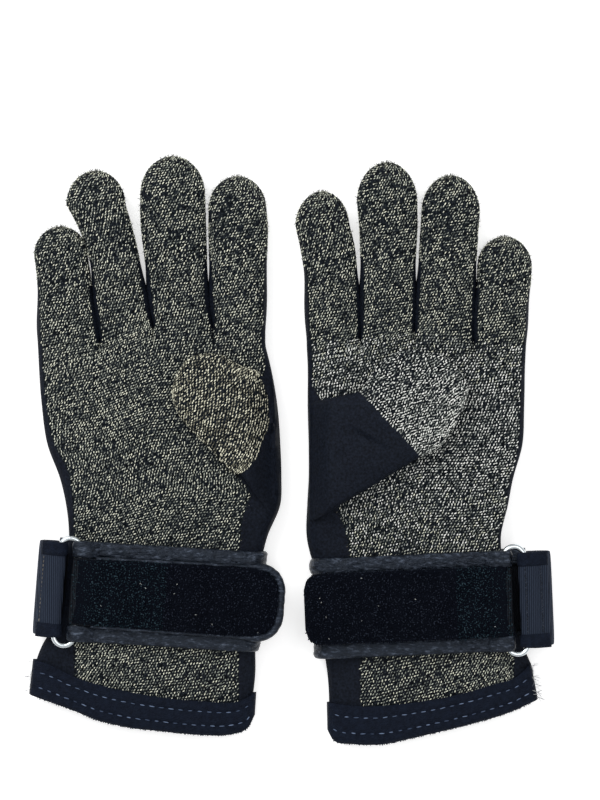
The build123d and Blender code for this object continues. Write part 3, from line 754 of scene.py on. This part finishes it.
def thumb_grid(side):
    """A folded thumb's rounds, which rise from the glove's edge and lie over the palm, and its tip."""
    shape = THUMBS[side]
    t = np.linspace(0, 1, THUMB_COLUMNS + 1)
    root, seam = (drawn(shape[line], THUMB_COLUMNS + 1) for line in ("root", "seam"))
    part = np.linspace(0, 1, SLEEVE_ROWS)[:, None, None]
    sleeve = root * (1 - part) + seam * part
    shares = np.sin(np.linspace(0, 0.98 * pi / 2, CAP_ROWS + 1))[1:]
    first, second = (drawn(shape[line], len(shares), shares)[:, None] for line in ("first", "second"))
    bow = seam - (seam[0] + (seam[-1] - seam[0]) * t[:, None])
    cap = first + (second - first) * t[:, None] + bow * ((1 - shares) ** 2)[:, None, None]
    plan = np.concatenate([sleeve, cap])
    hinge_x = joints[f"{side}_thumb_lift"]["pos_m"][0] / MM
    out = (plan[:, :, 0] - hinge_x) * (1 if side == "left" else -1)
    rise = np.clip((out + 4) / 16, 0, 1)
    rise = rise * rise * (3 - 2 * rise)
    closing = np.concatenate([np.zeros(SLEEVE_ROWS), np.clip((shares - 0.72) / 0.28, 0, 1)])
    half = np.interp(rise, [0, 1], [2.5, 5.1]) * np.sqrt(1 - closing ** 2.2)[:, None]
    middle = np.interp(rise, [0, 1], [11.5, 24.1])
    middle = middle - (5.1 - half) * 0.6 * (closing > 0)[:, None]
    x, y = plan[:, :, 0], plan[:, :, 1]
    grid = rounds(plan, middle + half, middle - half, 2.6)
    soft = 0.9 * wavering(x, y, 17, 21.0) + 0.4 * wavering(x, y, 6, 23.0)
    # each thumb has one slanting crease
    if side == "left":
        along = np.sin(pi * np.clip((x - 27) / 22, 0, 1)) ** 0.5
        off = 12.5 - (x - 27) * 0.58 - y
        soft = soft + along * (0.9 * np.exp(-((off + 2) / 1.3) ** 2) - 1.3 * np.exp(-(off / 0.8) ** 2))
    else:
        soft = soft + 0.8 * np.exp(-((y + 16 + (x + 20) * 0.5) / 1.6) ** 2) * rise
    grid[:, : THUMB_COLUMNS + 1, 2] += soft * np.clip((grid[:, : THUMB_COLUMNS + 1, 2] - middle) / 3, 0, 1)
    return grid, [*shape["tip"], float(middle[-1].mean())]


for side in ("right", "left"):
    grid, tip = thumb_grid(side)
    hinge = joints[f"{side}_thumb_lift"]["pos_m"]
    inward = -1 if side == "right" else 1
    turn = ((hinge[0] - 0.006 * inward, 0, 0), (hinge[0] + 0.008 * inward, 0, 0))
    sleeve = skin(f"{side}_thumb_sleeve", grid[:SLEEVE_ROWS])
    cap = skin(f"{side}_thumb_knit_cap", grid[SLEEVE_ROWS - 1:], tip=tip)
    for piece, cloth, kind in ((sleeve, NEOPRENE, "neoprene"), (cap, KNIT, "aramid_knit")):
        thicken(piece, THUMB_WALL)
        piece.data.materials.append(cloth)
    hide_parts(f"{side}_thumb_back", f"{side}_thumb_front")
    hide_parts(f"{side}_thumb_cap")
    strip = grid[SLEEVE_ROWS - 1:]
    strip = np.roll(strip, THUMB_COLUMNS // 2, axis=1)
    strip = np.concatenate([strip, strip[:, :1]], axis=1)
    course = 1.42 if side == "left" else 1.5
    places, outward, along = loop_places(strip, 1.38, course, 8, 0.04, 0.22, 0.0)
    loops = threads(f"{side}_thumb_loops", places, outward, along * 0 + (0.25, 1, 0),
                    WARM_YARN if side == "right" else WORN_YARN, 31, **THUMB_LOOP[side])
    for piece in (sleeve, cap, loops):
        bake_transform(piece)

# ------------------------------------------------------------------ hem bands
# A navy tape folded over the cuff's edge and sewn down with two rows of pale blue thread. The
# mouth of the cuff opens at its lower edge.

HEM_COLUMNS = 96
HEM_ROWS = 15
# each hem's lower and upper edge
HEMS = {
    "right": ([(-130.5, -121.3), (-120, -124.8), (-108.5, -128.8), (-96, -133.8), (-80, -137.4),
               (-66, -139), (-45, -141), (-30, -140.9), (-22, -138.2), (-18.2, -131.5)],
              [(-128.5, -103.8), (-120, -106.3), (-108.5, -111.8), (-88.5, -117.8), (-71, -121.3),
               (-45, -124.2), (-26, -124.3), (-17.5, -120.3)]),
    "left": ([(17.8, -139), (21, -144), (31, -145.7), (44, -145.8), (58, -143), (74, -139.3),
              (90, -135.3), (104, -131.3), (122.5, -123.8)],
             [(17.5, -125.3), (34, -126.8), (58, -125.2), (85, -120.3), (100, -116), (110.5, -112.8),
              (119, -105.8)]),
}
HEM_STITCH_ROWS = (0.29, 0.7)
HEM_STITCH_STEP = 4.6
HEM_WALL = 2.2


def hem_grid(side):
    """A hem's rounds, from its lower edge to its upper, sunk along the rows of stitches."""
    lower, upper = (drawn(line, HEM_COLUMNS + 1) for line in HEMS[side])
    part = np.linspace(0, 1, HEM_ROWS)
    plan = lower + (upper - lower) * part[:, None, None]
    roll = np.sqrt(np.clip(1 - (2 * part - 1) ** 6, 0, 1))
    grid = rounds(plan, 13.2 + 1.3 * roll + 0.5 * part, 0.9 - 0.9 * roll, 3.2)
    x, y = grid[:, : HEM_COLUMNS + 1, 0], grid[:, : HEM_COLUMNS + 1, 1]
    sewn = sum(np.exp(-((part - row) / 0.05) ** 2) for row in HEM_STITCH_ROWS)[:, None]
    soft = 0.8 * wavering(x, y, 12, 41.0) + 0.35 * wavering(x, y, 4, 43.0) - 0.75 * sewn
    grid[:, : HEM_COLUMNS + 1, 2] += soft * np.clip((grid[:, : HEM_COLUMNS + 1, 2] - 8) / 5, 0, 1)
    return grid


def tape(name, colour, light):
    """Close-woven navy tape."""
    material, tree, main = shader(name)
    twill = cells(tree, place_of(tree, (1, 1.4, 1)), 1000)
    cloud = grain(tree, place_of(tree), 420, 4.0, 0.7)
    tree.links.new(shades(tree, cloud, [(0.3, colour), (0.7, light)]), main.inputs["Base Color"])
    relief(tree, main, twill, -0.45, 1.0)
    main.inputs["Roughness"].default_value = 0.8
    main.inputs["Specular IOR Level"].default_value = 0.12
    return material


HEM_TAPE = tape("hem_tape", srgb(7, 13, 25), srgb(18, 26, 41))
STITCH = yarn("stitch_thread", [(0.0, srgb(48, 60, 82)), (1.0, srgb(112, 128, 156))])
DULL_STITCH = yarn("dull_stitch", [(0.0, srgb(60, 58, 56)), (1.0, srgb(128, 122, 112))])
DARK_STITCH = yarn("dark_stitch", [(0.0, srgb(20, 24, 32)), (1.0, srgb(52, 58, 70))])

for side in ("right", "left"):
    grid = hem_grid(side)
    band = skin(f"{side}_hem", grid)
    thicken(band, HEM_WALL)
    band.data.materials.append(HEM_TAPE)
    places, along = [], []
    for row in HEM_STITCH_ROWS:
        at = row * (HEM_ROWS - 1)
        j = int(at)
        line = grid[j, : HEM_COLUMNS + 1] * (1 - at + j) + grid[j + 1, : HEM_COLUMNS + 1] * (at - j)
        line = line[3:-3]
        count = int(np.linalg.norm(np.diff(line, axis=0), axis=1).sum() / HEM_STITCH_STEP)
        shares = (np.arange(count) + 0.5) / count
        places.append(drawn(line, count, shares) + (0, 0, 0.12))
        along.append(drawn(line, count, shares + 0.004) - drawn(line, count, shares))
    places, along = np.concatenate(places), np.concatenate(along)
    stitches = threads(f"{side}_hem_stitches", places, places * 0 + (0, 0, 1), along, STITCH, 51,
                       width=0.55, length=2.5, height=0.7, lean_spread=0.1, size_spread=0.2, roundness=2)
    for piece in (band, stitches):
        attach(piece, f"{side}_hand")
    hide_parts(f"{side}_hem_band")

# ------------------------------------------------------------------ wrist straps
# A strap goes round each cuff: black webbing under a loop layer, with a rolled, creased leatherette
# binding sewn along both long edges. One end holds the chromed link's inner bar.

# In millimetres along each strap from the link's inner bar: where it turns round the cuff, how far
# the tab reaches the other way, the flap's end and corner radius, and where its two piles join.
# skew is how far it is shifted towards the fingers at the bar and at its end, fan how much the flap
# widens.
STRAPS = {
    "right": dict(turn=82.5, tab=14, flap=102, corner=13, joined=43.5, skew=(0.8, 2.4), fan=1.0),
    "left": dict(turn=86.5, tab=16.5, flap=99.5, corner=8, joined=24.6, skew=(0, 0), fan=0.0),
}
BINDINGS = {"finger_side": (16.8, 24.8), "hem_side": (-25, -16.8)}
# heights of the link's bars, of the middles of the strap's layers and of its stitches
BAR_Z, CORE_Z, BINDING_Z, LOOP_Z = 18.5, 15.8, 16.9, 17.4
HOOK_Z, PILE_Z, STITCH_Z = 19.2, 22.3, 19.15


def strap_place(side, along, across, height):
    """A place in the strap's own measures: along it from the inner bar, across towards the fingers, up."""
    hinge = joints[f"{side}_flap_open"]
    start = np.array(hinge["pos_m"]) / MM * (1, 1, 0)
    ahead = np.cross((0, 0, 1), hinge["axis"])
    aside = np.cross((0, 0, 1), ahead) * (1 if side == "right" else -1)
    along, across, height = np.broadcast_arrays(along, across, height)
    across = across + np.interp(along, [0, 95], STRAPS[side]["skew"])
    level = start + along[..., None] * ahead + across[..., None] * aside
    return level + height[..., None] * np.array((0, 0, 1))


def path(*parts, step=1.3):
    """A bent line in the strap's length and height: points, or arcs as (centre, radius, from, to)."""
    line = []
    for part in parts:
        if len(part) == 4:
            (x, z), radius, start, end = part
            turn = np.radians(np.linspace(start, end, max(6, int(abs(radians(end - start)) * radius / 0.7))))
            line += list(zip(x + radius * np.cos(turn), z + radius * np.sin(turn)))
        else:
            line.append(part)
    line = np.array(line)
    run = np.concatenate([[0], np.cumsum(np.linalg.norm(np.diff(line, axis=0), axis=1))])
    at = np.linspace(0, run[-1], int(run[-1] / step) + 2)
    return np.column_stack([np.interp(at, run, line[:, 0]), np.interp(at, run, line[:, 1])])


def strap_skin(name, side, line, low, high, thick, squareness=5.0, creases=None, columns=18):
    """A strap piece: line is its middle in length and height, low and high its two edges."""
    rows = len(line)
    low, high = (np.broadcast_to(v, (rows,))[:, None] for v in (low, high))
    ahead = np.gradient(line, axis=0)
    ahead /= np.linalg.norm(ahead, axis=1, keepdims=True)
    t = (1 - np.cos(np.linspace(0, pi, columns + 1)[None])) / 2
    across = low + (high - low) * t
    end = np.minimum(np.arange(rows), np.arange(rows)[::-1])[:, None]
    bulge = (1 - np.abs(2 * t - 1) ** squareness) ** (1 / squareness) * np.where(end == 0, 0.45, 1)
    lift = thick / 2 * bulge
    crumple = creases(line[:, :1] + line[:, 1:] * 0.3, across) if creases else 0
    outer = lift + crumple * (bulge > 0.3) * (end > 0)
    sheets = []
    for offset in (outer, -lift):
        x = line[:, :1] - ahead[:, 1:] * offset
        z = line[:, 1:] + ahead[:, :1] * offset
        sheets.append(strap_place(side, x, across, z))
    grid = np.concatenate([sheets[0], sheets[1][:, -2:0:-1]], axis=1)
    if side == "right":
        grid = grid[:, ::-1]
    return skin(name, grid, tip=grid[-1].mean(axis=0), foot=grid[0].mean(axis=0))


def leatherette():
    """Thin shiny black leatherette, creased, with pale patches of painted sheen in its colour."""
    material, tree, main = shader("leatherette")
    creases = grain(tree, place_of(tree, (0.55, 1.2, 1.0)), 460, 4.0, 0.65)
    # pale patches painted into the colour stand in for the sheen on its creases: painted highlights
    painted_sheen = grain(tree, place_of(tree, (0.6, 1.6, 1.0)), 420, 5.0, 0.7)
    stops = [(0.38, srgb(4, 8, 15)), (0.54, srgb(17, 23, 33)), (0.72, srgb(84, 93, 108))]
    tree.links.new(shades(tree, painted_sheen, stops), main.inputs["Base Color"])
    relief(tree, main, creases, 1.3)
    main.inputs["Roughness"].default_value = 0.36
    main.inputs["Specular IOR Level"].default_value = 0.45
    main.inputs["Specular Tint"].default_value = srgb(196, 210, 232)
    return material


def webbing(name, colour, light, ribs):
    """Close ribbed webbing."""
    material, tree, main = shader(name)
    weave = tree.nodes.new("ShaderNodeTexWave")
    weave.wave_type, weave.bands_direction = "BANDS", "X"
    weave.inputs["Scale"].default_value = ribs
    weave.inputs["Distortion"].default_value = 1.2
    weave.inputs["Detail"].default_value = 2.0
    weave.inputs["Detail Scale"].default_value = 3.0
    tree.links.new(place_of(tree), weave.inputs["Vector"])
    ribbed = weave.outputs["Fac"]
    tree.links.new(shades(tree, ribbed, [(0.2, colour), (0.8, light)]), main.inputs["Base Color"])
    relief(tree, main, ribbed, 0.3)
    main.inputs["Roughness"].default_value = 0.75
    main.inputs["Specular IOR Level"].default_value = 0.12
    return material


LEATHERETTE = leatherette()
STRAP_WEB = webbing("strap_webbing", srgb(12, 15, 20), srgb(26, 30, 38), 300)
TAB_WEB = webbing("tab_webbing", srgb(22, 28, 40), srgb(46, 55, 71), 330)


def bound_creases(x, across):
    """The crumpled face of a rolled binding."""
    return (0.6 * wavering(x, across * 0.6, 3.2, 61.0) + 0.5 * wavering(x, across, 1.8, 63.0)
            + 0.5 * wavering(x, across * 0.3, 9, 65.0))


def round_cuff(side, start, middle, bottom=1.1):
    """The way of a strap from start over the cuff, round its edge and back underneath."""
    turn = STRAPS[side]["turn"]
    radius = (middle - bottom) / 2
    return path((start, middle), (turn, middle), ((turn, middle - radius), radius, 90, -90), (-12, bottom))


for side in ("right", "left"):
    core = strap_skin(f"{side}_strap_core", side, round_cuff(side, 4.2, CORE_Z), -19.6, 19.6, 2.0)
    loop_layer = strap_skin(f"{side}_strap_loop_layer", side,
                            path((4.2, LOOP_Z), (STRAPS[side]["turn"] + 1, LOOP_Z)), -19, 19, 1.3)
    for piece, node, kind in ((core, "wrist_strap", "strap_fabric"), (loop_layer, "strap_loop", "loop_pile")):
        piece.data.materials.append(STRAP_WEB)
        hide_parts(f"{side}_{node}")
        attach(piece, f"{side}_hand")
    for end, (low, high) in BINDINGS.items():
        binding = strap_skin(f"{side}_binding_{end}", side, round_cuff(side, 2.4, BINDING_Z, 2.6),
                             low, high, 4.0, 3.0, bound_creases, 16)
        binding.data.materials.append(LEATHERETTE)
        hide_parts(f"{side}_strap_binding_{end}")
        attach(binding, f"{side}_hand")
        wrap = strap_skin(f"{side}_binding_wrap_{end}", side,
                          path((3, CORE_Z), ((0, BAR_Z), 2.8, -80, -270), (4, 20.4), (10, 17.3)),
                          low, high, 2.6, 3.0, bound_creases, 14)
        wrap.data.materials.append(LEATHERETTE)
        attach(wrap, f"{side}_flap")
    # dark tacks hold both bindings down a little way along
    tack_x = np.linspace(25, 29.5, 6) if side == "right" else np.linspace(13, 23, 8)
    tack_x, tack_u = (v.ravel() for v in np.meshgrid(tack_x, (20.3, 22.9, -20.3, -22.9)))
    tacks = strap_place(side, tack_x, tack_u, STITCH_Z)
    way = strap_place(side, tack_x + 1, tack_u, STITCH_Z) - tacks
    stitches = threads(f"{side}_binding_tacks", tacks, tacks * 0 + (0, 0, 1), way, DARK_STITCH, 53,
                       width=0.5, length=1.7, height=0.6, lean_spread=0.5, size_spread=0.2)
    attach(stitches, f"{side}_hand")

# ------------------------------------------------------------------ links and their tabs
# A chromed wire link hangs at the ulnar edge in a tab of navy webbing. The tab comes from under the
# cuff, passes round the outer bar and is sewn back on itself, its edges folded in.


def chromed_wire():
    """Bright chromed steel wire."""
    material, tree, main = shader("chromed_wire")
    main.inputs["Base Color"].default_value = srgb(205, 212, 216)
    main.inputs["Metallic"].default_value = 1.0
    main.inputs["Roughness"].default_value = 0.2
    return material


CHROME = chromed_wire()
TAB_FOLD = 16.6

for side in ("right", "left"):
    link = frame["nodes"][f"{side}_strap_link"]
    link.data.materials.clear()
    link.data.materials.append(CHROME)
    turn = STRAPS[side]["tab"]
    way = path((-turn - 5, 17.9), (-13.5, 20.3), (-10, 20.9), ((-10, BAR_Z), 2.4, 90, -90),
               (-turn, CORE_Z), ((-turn, 9), 6.8, 90, 270), (-12.4, 2.2), step=1.0)
    half = np.interp(way[:, 0], [-14, -8], [23.2, 22.8])
    tab = strap_skin(f"{side}_tab", side, way, -half, half, 1.5,
                     creases=lambda x, u: 0.35 * wavering(x, u, 7, 71.0), columns=30)
    tab.data.materials.append(TAB_WEB)
    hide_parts(f"{side}_link_tab")
    folds = []
    folded = slice(0, int(len(way) * 0.62))
    for end, sign in (("finger_side", 1), ("hem_side", -1)):
        near, far = TAB_FOLD * sign, (half + 0.6)[folded] * sign
        fold = strap_skin(f"{side}_tab_fold_{end}", side, way[folded], np.minimum(near, far),
                          np.maximum(near, far), 3.1, 3.2, lambda x, u: 0.3 * wavering(x, u, 3, 73.0), 12)
        fold.data.materials.append(HEM_TAPE)
        folds.append(fold)
    if side == "right":
        u = np.linspace(-15.5, 15.5, 16)
        x, z, lean = u * 0 - turn - 3.8, u * 0 + STITCH_Z, 0.0
    else:
        u = np.tile(np.linspace(-15.5, 15.5, 24), 2)
        x = np.repeat([-10, -turn - 1.2], 24)
        z, lean = np.repeat([21.75, 20.3], 24), np.tile([0.75, -0.75], 24)
    places = strap_place(side, x, u, z)
    way_across = strap_place(side, x + np.tan(lean), u + 1, z) - places
    stitches = threads(f"{side}_tab_stitches", places, places * 0 + (0, 0, 1), way_across,
                       DULL_STITCH if side == "right" else DARK_STITCH, 55,
                       width=0.55, length=1.7, height=0.7, lean_spread=0.1, size_spread=0.1)
    for piece in (tab, *folds, stitches):
        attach(piece, f"{side}_hand")

# ------------------------------------------------------------------ strap flaps
# The strap's free end passes through the link and folds back over the cuff: webbing faced with
# black loop pile in two lengths, its end bound, with a strip of hook tape beneath.


def pile(name, stops):
    """Soft loop pile, matte and near black."""
    material = yarn(name, stops)
    main = material.node_tree.nodes["Principled BSDF"]
    main.inputs["Roughness"].default_value = 0.95
    main.inputs["Specular IOR Level"].default_value = 0.05
    return material


INNER_PILE = pile("inner_pile", [(0.0, srgb(8, 15, 21)), (0.6, srgb(26, 40, 49)), (1.0, srgb(50, 68, 77))])
OUTER_PILE = pile("outer_pile", [(0.0, srgb(7, 10, 18)), (0.6, srgb(20, 25, 35)), (1.0, srgb(42, 48, 60))])
LINT = yarn("lint", [(0.0, srgb(120, 126, 128)), (1.0, srgb(196, 198, 194))])
HOOKS = webbing("hook_tape", srgb(10, 11, 14), srgb(30, 32, 38), 500)


def flap_half(side, x, inset):
    """Half the flap's width at each place along it; nothing past its end."""
    size = STRAPS[side]
    radius = size["corner"]
    into = np.clip(x + inset - (size["flap"] - radius), 0, radius)
    fan = size["fan"] * np.clip(x / size["flap"], 0, 1)
    return np.maximum(17.8 - radius - inset + np.sqrt(radius ** 2 - into ** 2) + fan * (1 - into / radius), 0)


# the radius at which the flap's webbing bends round the bar, and how far inside its end it stops
FLAP_BEND, WEB_INSET = 2.5, 1.2

for side in ("right", "left"):
    size = STRAPS[side]
    way = path((4.0, BAR_Z - FLAP_BEND), ((0, BAR_Z), FLAP_BEND, -90, -270),
               (size["flap"] - WEB_INSET, BAR_Z + FLAP_BEND))
    end = np.minimum(way[-1, 0] - 0.01, way[:, 0])
    half = flap_half(side, end, WEB_INSET)
    core = strap_skin(f"{side}_flap_core", side, way, -half, half, 2.0, columns=24)
    core.data.materials.append(STRAP_WEB)
    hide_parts(f"{side}_strap_flap")

    # the right flap's end is bound, so its pile stops short of it
    short = 2.6 if side == "right" else 0.2
    way = path((-1.2, PILE_Z - 1.1), (8, PILE_Z), (size["flap"] - short, PILE_Z))
    half = np.minimum(flap_half(side, way[:, 0], short) + 0.3 * short, 17.4 + size["fan"])
    field = strap_skin(f"{side}_pile_field", side, way, -half, half, 1.6,
                       creases=lambda x, u: 0.35 * wavering(x, u, 11, 81.0), columns=24)
    field.data.materials.append(OUTER_PILE)
    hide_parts(f"{side}_flap_pile")
    pieces = [core, field]

    chance = np.random.default_rng(83)
    x, u = (v.ravel() for v in np.meshgrid(np.arange(-2, size["flap"], 1.08), np.arange(-18.6, 18.7, 1.02)))
    x, u = x + chance.uniform(-0.5, 0.5, x.size), u + chance.uniform(-0.5, 0.5, u.size)
    room = np.interp(x, way[:, 0], half) + 0.4
    kept = (np.abs(u) < room) & (x < way[-1, 0] + 0.4)
    x, u, room = x[kept], u[kept], room[kept]
    edge = np.clip(1 - (room - np.abs(u)) / 2.2, 0, 1) * np.sign(u)
    height = PILE_Z + 0.9 - 1.3 * edge ** 2 + 0.35 * wavering(x, u, 11, 81.0) - 1.7 * np.clip(1 - x / 9, 0, 1)
    lean_x, lean_u = chance.normal(0, 0.5, x.size), chance.normal(0, 0.5, x.size) + 0.9 * edge
    places = strap_place(side, x, u, height)
    outward = strap_place(side, x + lean_x, u + lean_u, height + 1) - places
    inner = x < size["joined"]
    for part, chosen, material in (("inner", inner, INNER_PILE), ("outer", ~inner, OUTER_PILE)):
        fur = threads(f"{side}_{part}_pile", places[chosen], outward[chosen], outward[chosen] * 0 + (0, 1, 0),
                      material, 85, width=0.6, length=0.6, height=2.0, lean_spread=3.0, size_spread=0.3)
        pieces.append(fur)
    picked = chance.choice(len(places), 9, replace=False)
    lint = threads(f"{side}_lint", places[picked] + (0, 0, 1.0), outward[picked] * 0 + (0, 0, 1),
                   outward[picked] * 0 + (0, 1, 0), LINT, 87, width=0.3, length=0.9, height=0.3,
                   lean_spread=3.0)
    pieces.append(lint)

    # a rolled rim goes along both edges and round the end; it is fat only round the right one's end
    turn = np.radians(np.linspace(-90, 90, 40))
    inset, start = 1.7, 8
    radius, middle = size["corner"] - inset, 18.4 - size["corner"]
    rim_x = size["flap"] - size["corner"] + radius * np.cos(turn)
    rim_u = middle * np.sign(np.sin(turn)) + radius * np.sin(turn)
    rim_x = np.concatenate([[start], rim_x, [start]])
    rim_u = np.concatenate([rim_u[:1], rim_u, rim_u[-1:]])
    rim_u = rim_u * (1 + size["fan"] / 18 * np.clip(rim_x / size["flap"], 0, 1))
    run = np.concatenate([[0], np.cumsum(np.hypot(np.diff(rim_x), np.diff(rim_u)))])
    at = np.linspace(0, run[-1], 190)
    rim_x, rim_u = np.interp(at, run, rim_x), np.interp(at, run, rim_u)
    side_x, side_u = np.gradient(rim_u), -np.gradient(rim_x)
    long = np.hypot(side_x, side_u)
    side_x, side_u = (side_x / long)[:, None], (side_u / long)[:, None]
    shown = np.clip((rim_x - (size["flap"] - 20)) / 8, 0, 1)[:, None] * (side == "right")
    around = np.linspace(0, 2 * pi, 14, endpoint=False)[None]
    wide, tall = 0.9 + 1.0 * shown, 1.3 + 0.9 * shown
    crease = 1 + 0.14 * wavering(at[:, None], around, 2.2, 91.0)
    x = rim_x[:, None] + side_x * np.cos(around) * wide * crease
    u = rim_u[:, None] + side_u * np.cos(around) * wide * crease
    z = 20.9 + 0.7 * shown + np.sin(around) * tall * crease
    grid = strap_place(side, x, u, z)
    grid = grid if side == "right" else grid[:, ::-1]
    rim = skin(f"{side}_flap_rim", grid, tip=grid[-1].mean(axis=0), foot=grid[0].mean(axis=0))
    rim.data.materials.append(LEATHERETTE)
    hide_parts(f"{side}_flap_binding")
    hook = strap_skin(f"{side}_hook_tape", side,
                      path((size["flap"] * 0.5, HOOK_Z), (size["flap"] * 0.88, HOOK_Z)), -14, 14, 1.4)
    hook.data.materials.append(HOOKS)
    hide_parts(f"{side}_flap_hook")
    for piece in (*pieces, rim, hook):
        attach(piece, f"{side}_flap")

# ------------------------------------------------------------------ loose fibres
# Wear has pulled short hairs out of the knit at the fingertips and along its edges, and the cut
# ends of the hem tape have frayed into a few pale threads.


def stray_hairs(name, places, outward, count, seed, material, length, thick=0.16, spread=0.7):
    """Hairs that stand out from places on the cloth, sizes in millimetres."""
    chance = np.random.default_rng(seed)
    picked = chance.integers(0, len(places), count)
    lean = chance.normal(0, spread, (count, 3)) * (1, 1, 0.35)
    away = outward[picked] + lean
    away /= np.linalg.norm(away, axis=1, keepdims=True)
    start = places[picked] + away * length * 0.32 + (0, 0, 0.4)
    flat = np.cross(away, (0.1, 0.2, 1))
    hairs = threads(name, start, np.cross(flat, away), away, material, seed, width=thick, length=length,
                    height=thick, size_spread=0.45)
    return hairs


FUZZ = yarn("fuzz", [(0.0, srgb(20, 22, 22)), (0.7, srgb(52, 54, 50)), (1.0, srgb(170, 168, 150))])
NAVY_FUZZ = yarn("navy_fuzz", [(0.0, srgb(10, 16, 27)), (1.0, srgb(34, 43, 60))])
FRAY = yarn("fray", [(0.0, srgb(40, 48, 62)), (0.6, srgb(110, 116, 124)), (1.0, srgb(206, 208, 206))])

for name, (grid, steps, cut, tip) in stalls.items():
    # along both sides of the cap and all over its last rounds
    rows = grid[cut + 2:]
    low, high = rows[:, 0], rows[:, FINGER_COLUMNS]
    arch = rows[-10:, 2:15].reshape(-1, 3)
    centre = (low[-12] + high[-12]) / 2
    places = np.concatenate([low, high, arch])
    outward = places - centre
    outward[: len(low)] = (-1, 0.15, 0)
    outward[len(low): 2 * len(low)] = (1, 0.15, 0)
    outward = outward / np.linalg.norm(outward, axis=1, keepdims=True)
    fuzz = stray_hairs(f"{name}_fuzz", places, outward, 150, 95, FUZZ, 1.9)
    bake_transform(fuzz)

for side in ("right", "left"):
    inner = 1 if side == "right" else -1
    hem, palm = hem_grid(side), hands[side]
    outer_end = hem[1:-1, 0 if side == "right" else HEM_COLUMNS] + (0, 0, 3)
    lower_edge = hem[0, 4: HEM_COLUMNS - 3] + (0, 0.35, 1)
    last_column = (palm.shape[1] + 2) // 2 - 1 - BORDER_COLUMN
    border = palm[14:60, last_column if side == "right" else BORDER_COLUMN]
    fray = stray_hairs(f"{side}_hem_fray", outer_end, outer_end * 0 + (-inner, -0.2, 0.2),
                       10 if side == "right" else 26, 97, FRAY, 4.2, 0.22, 0.9)
    hem_fuzz = stray_hairs(f"{side}_hem_fuzz", lower_edge, lower_edge * 0 + (0, -1, 0.1), 220, 99, NAVY_FUZZ,
                           0.9, 0.42, 0.8)
    palm_fuzz = stray_hairs(f"{side}_palm_fuzz", border, border * 0 + (inner, 0, 0.4), 60, 101, FUZZ, 1.7)
    for hairs in (fray, hem_fuzz, palm_fuzz):
        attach(hairs, f"{side}_hand")
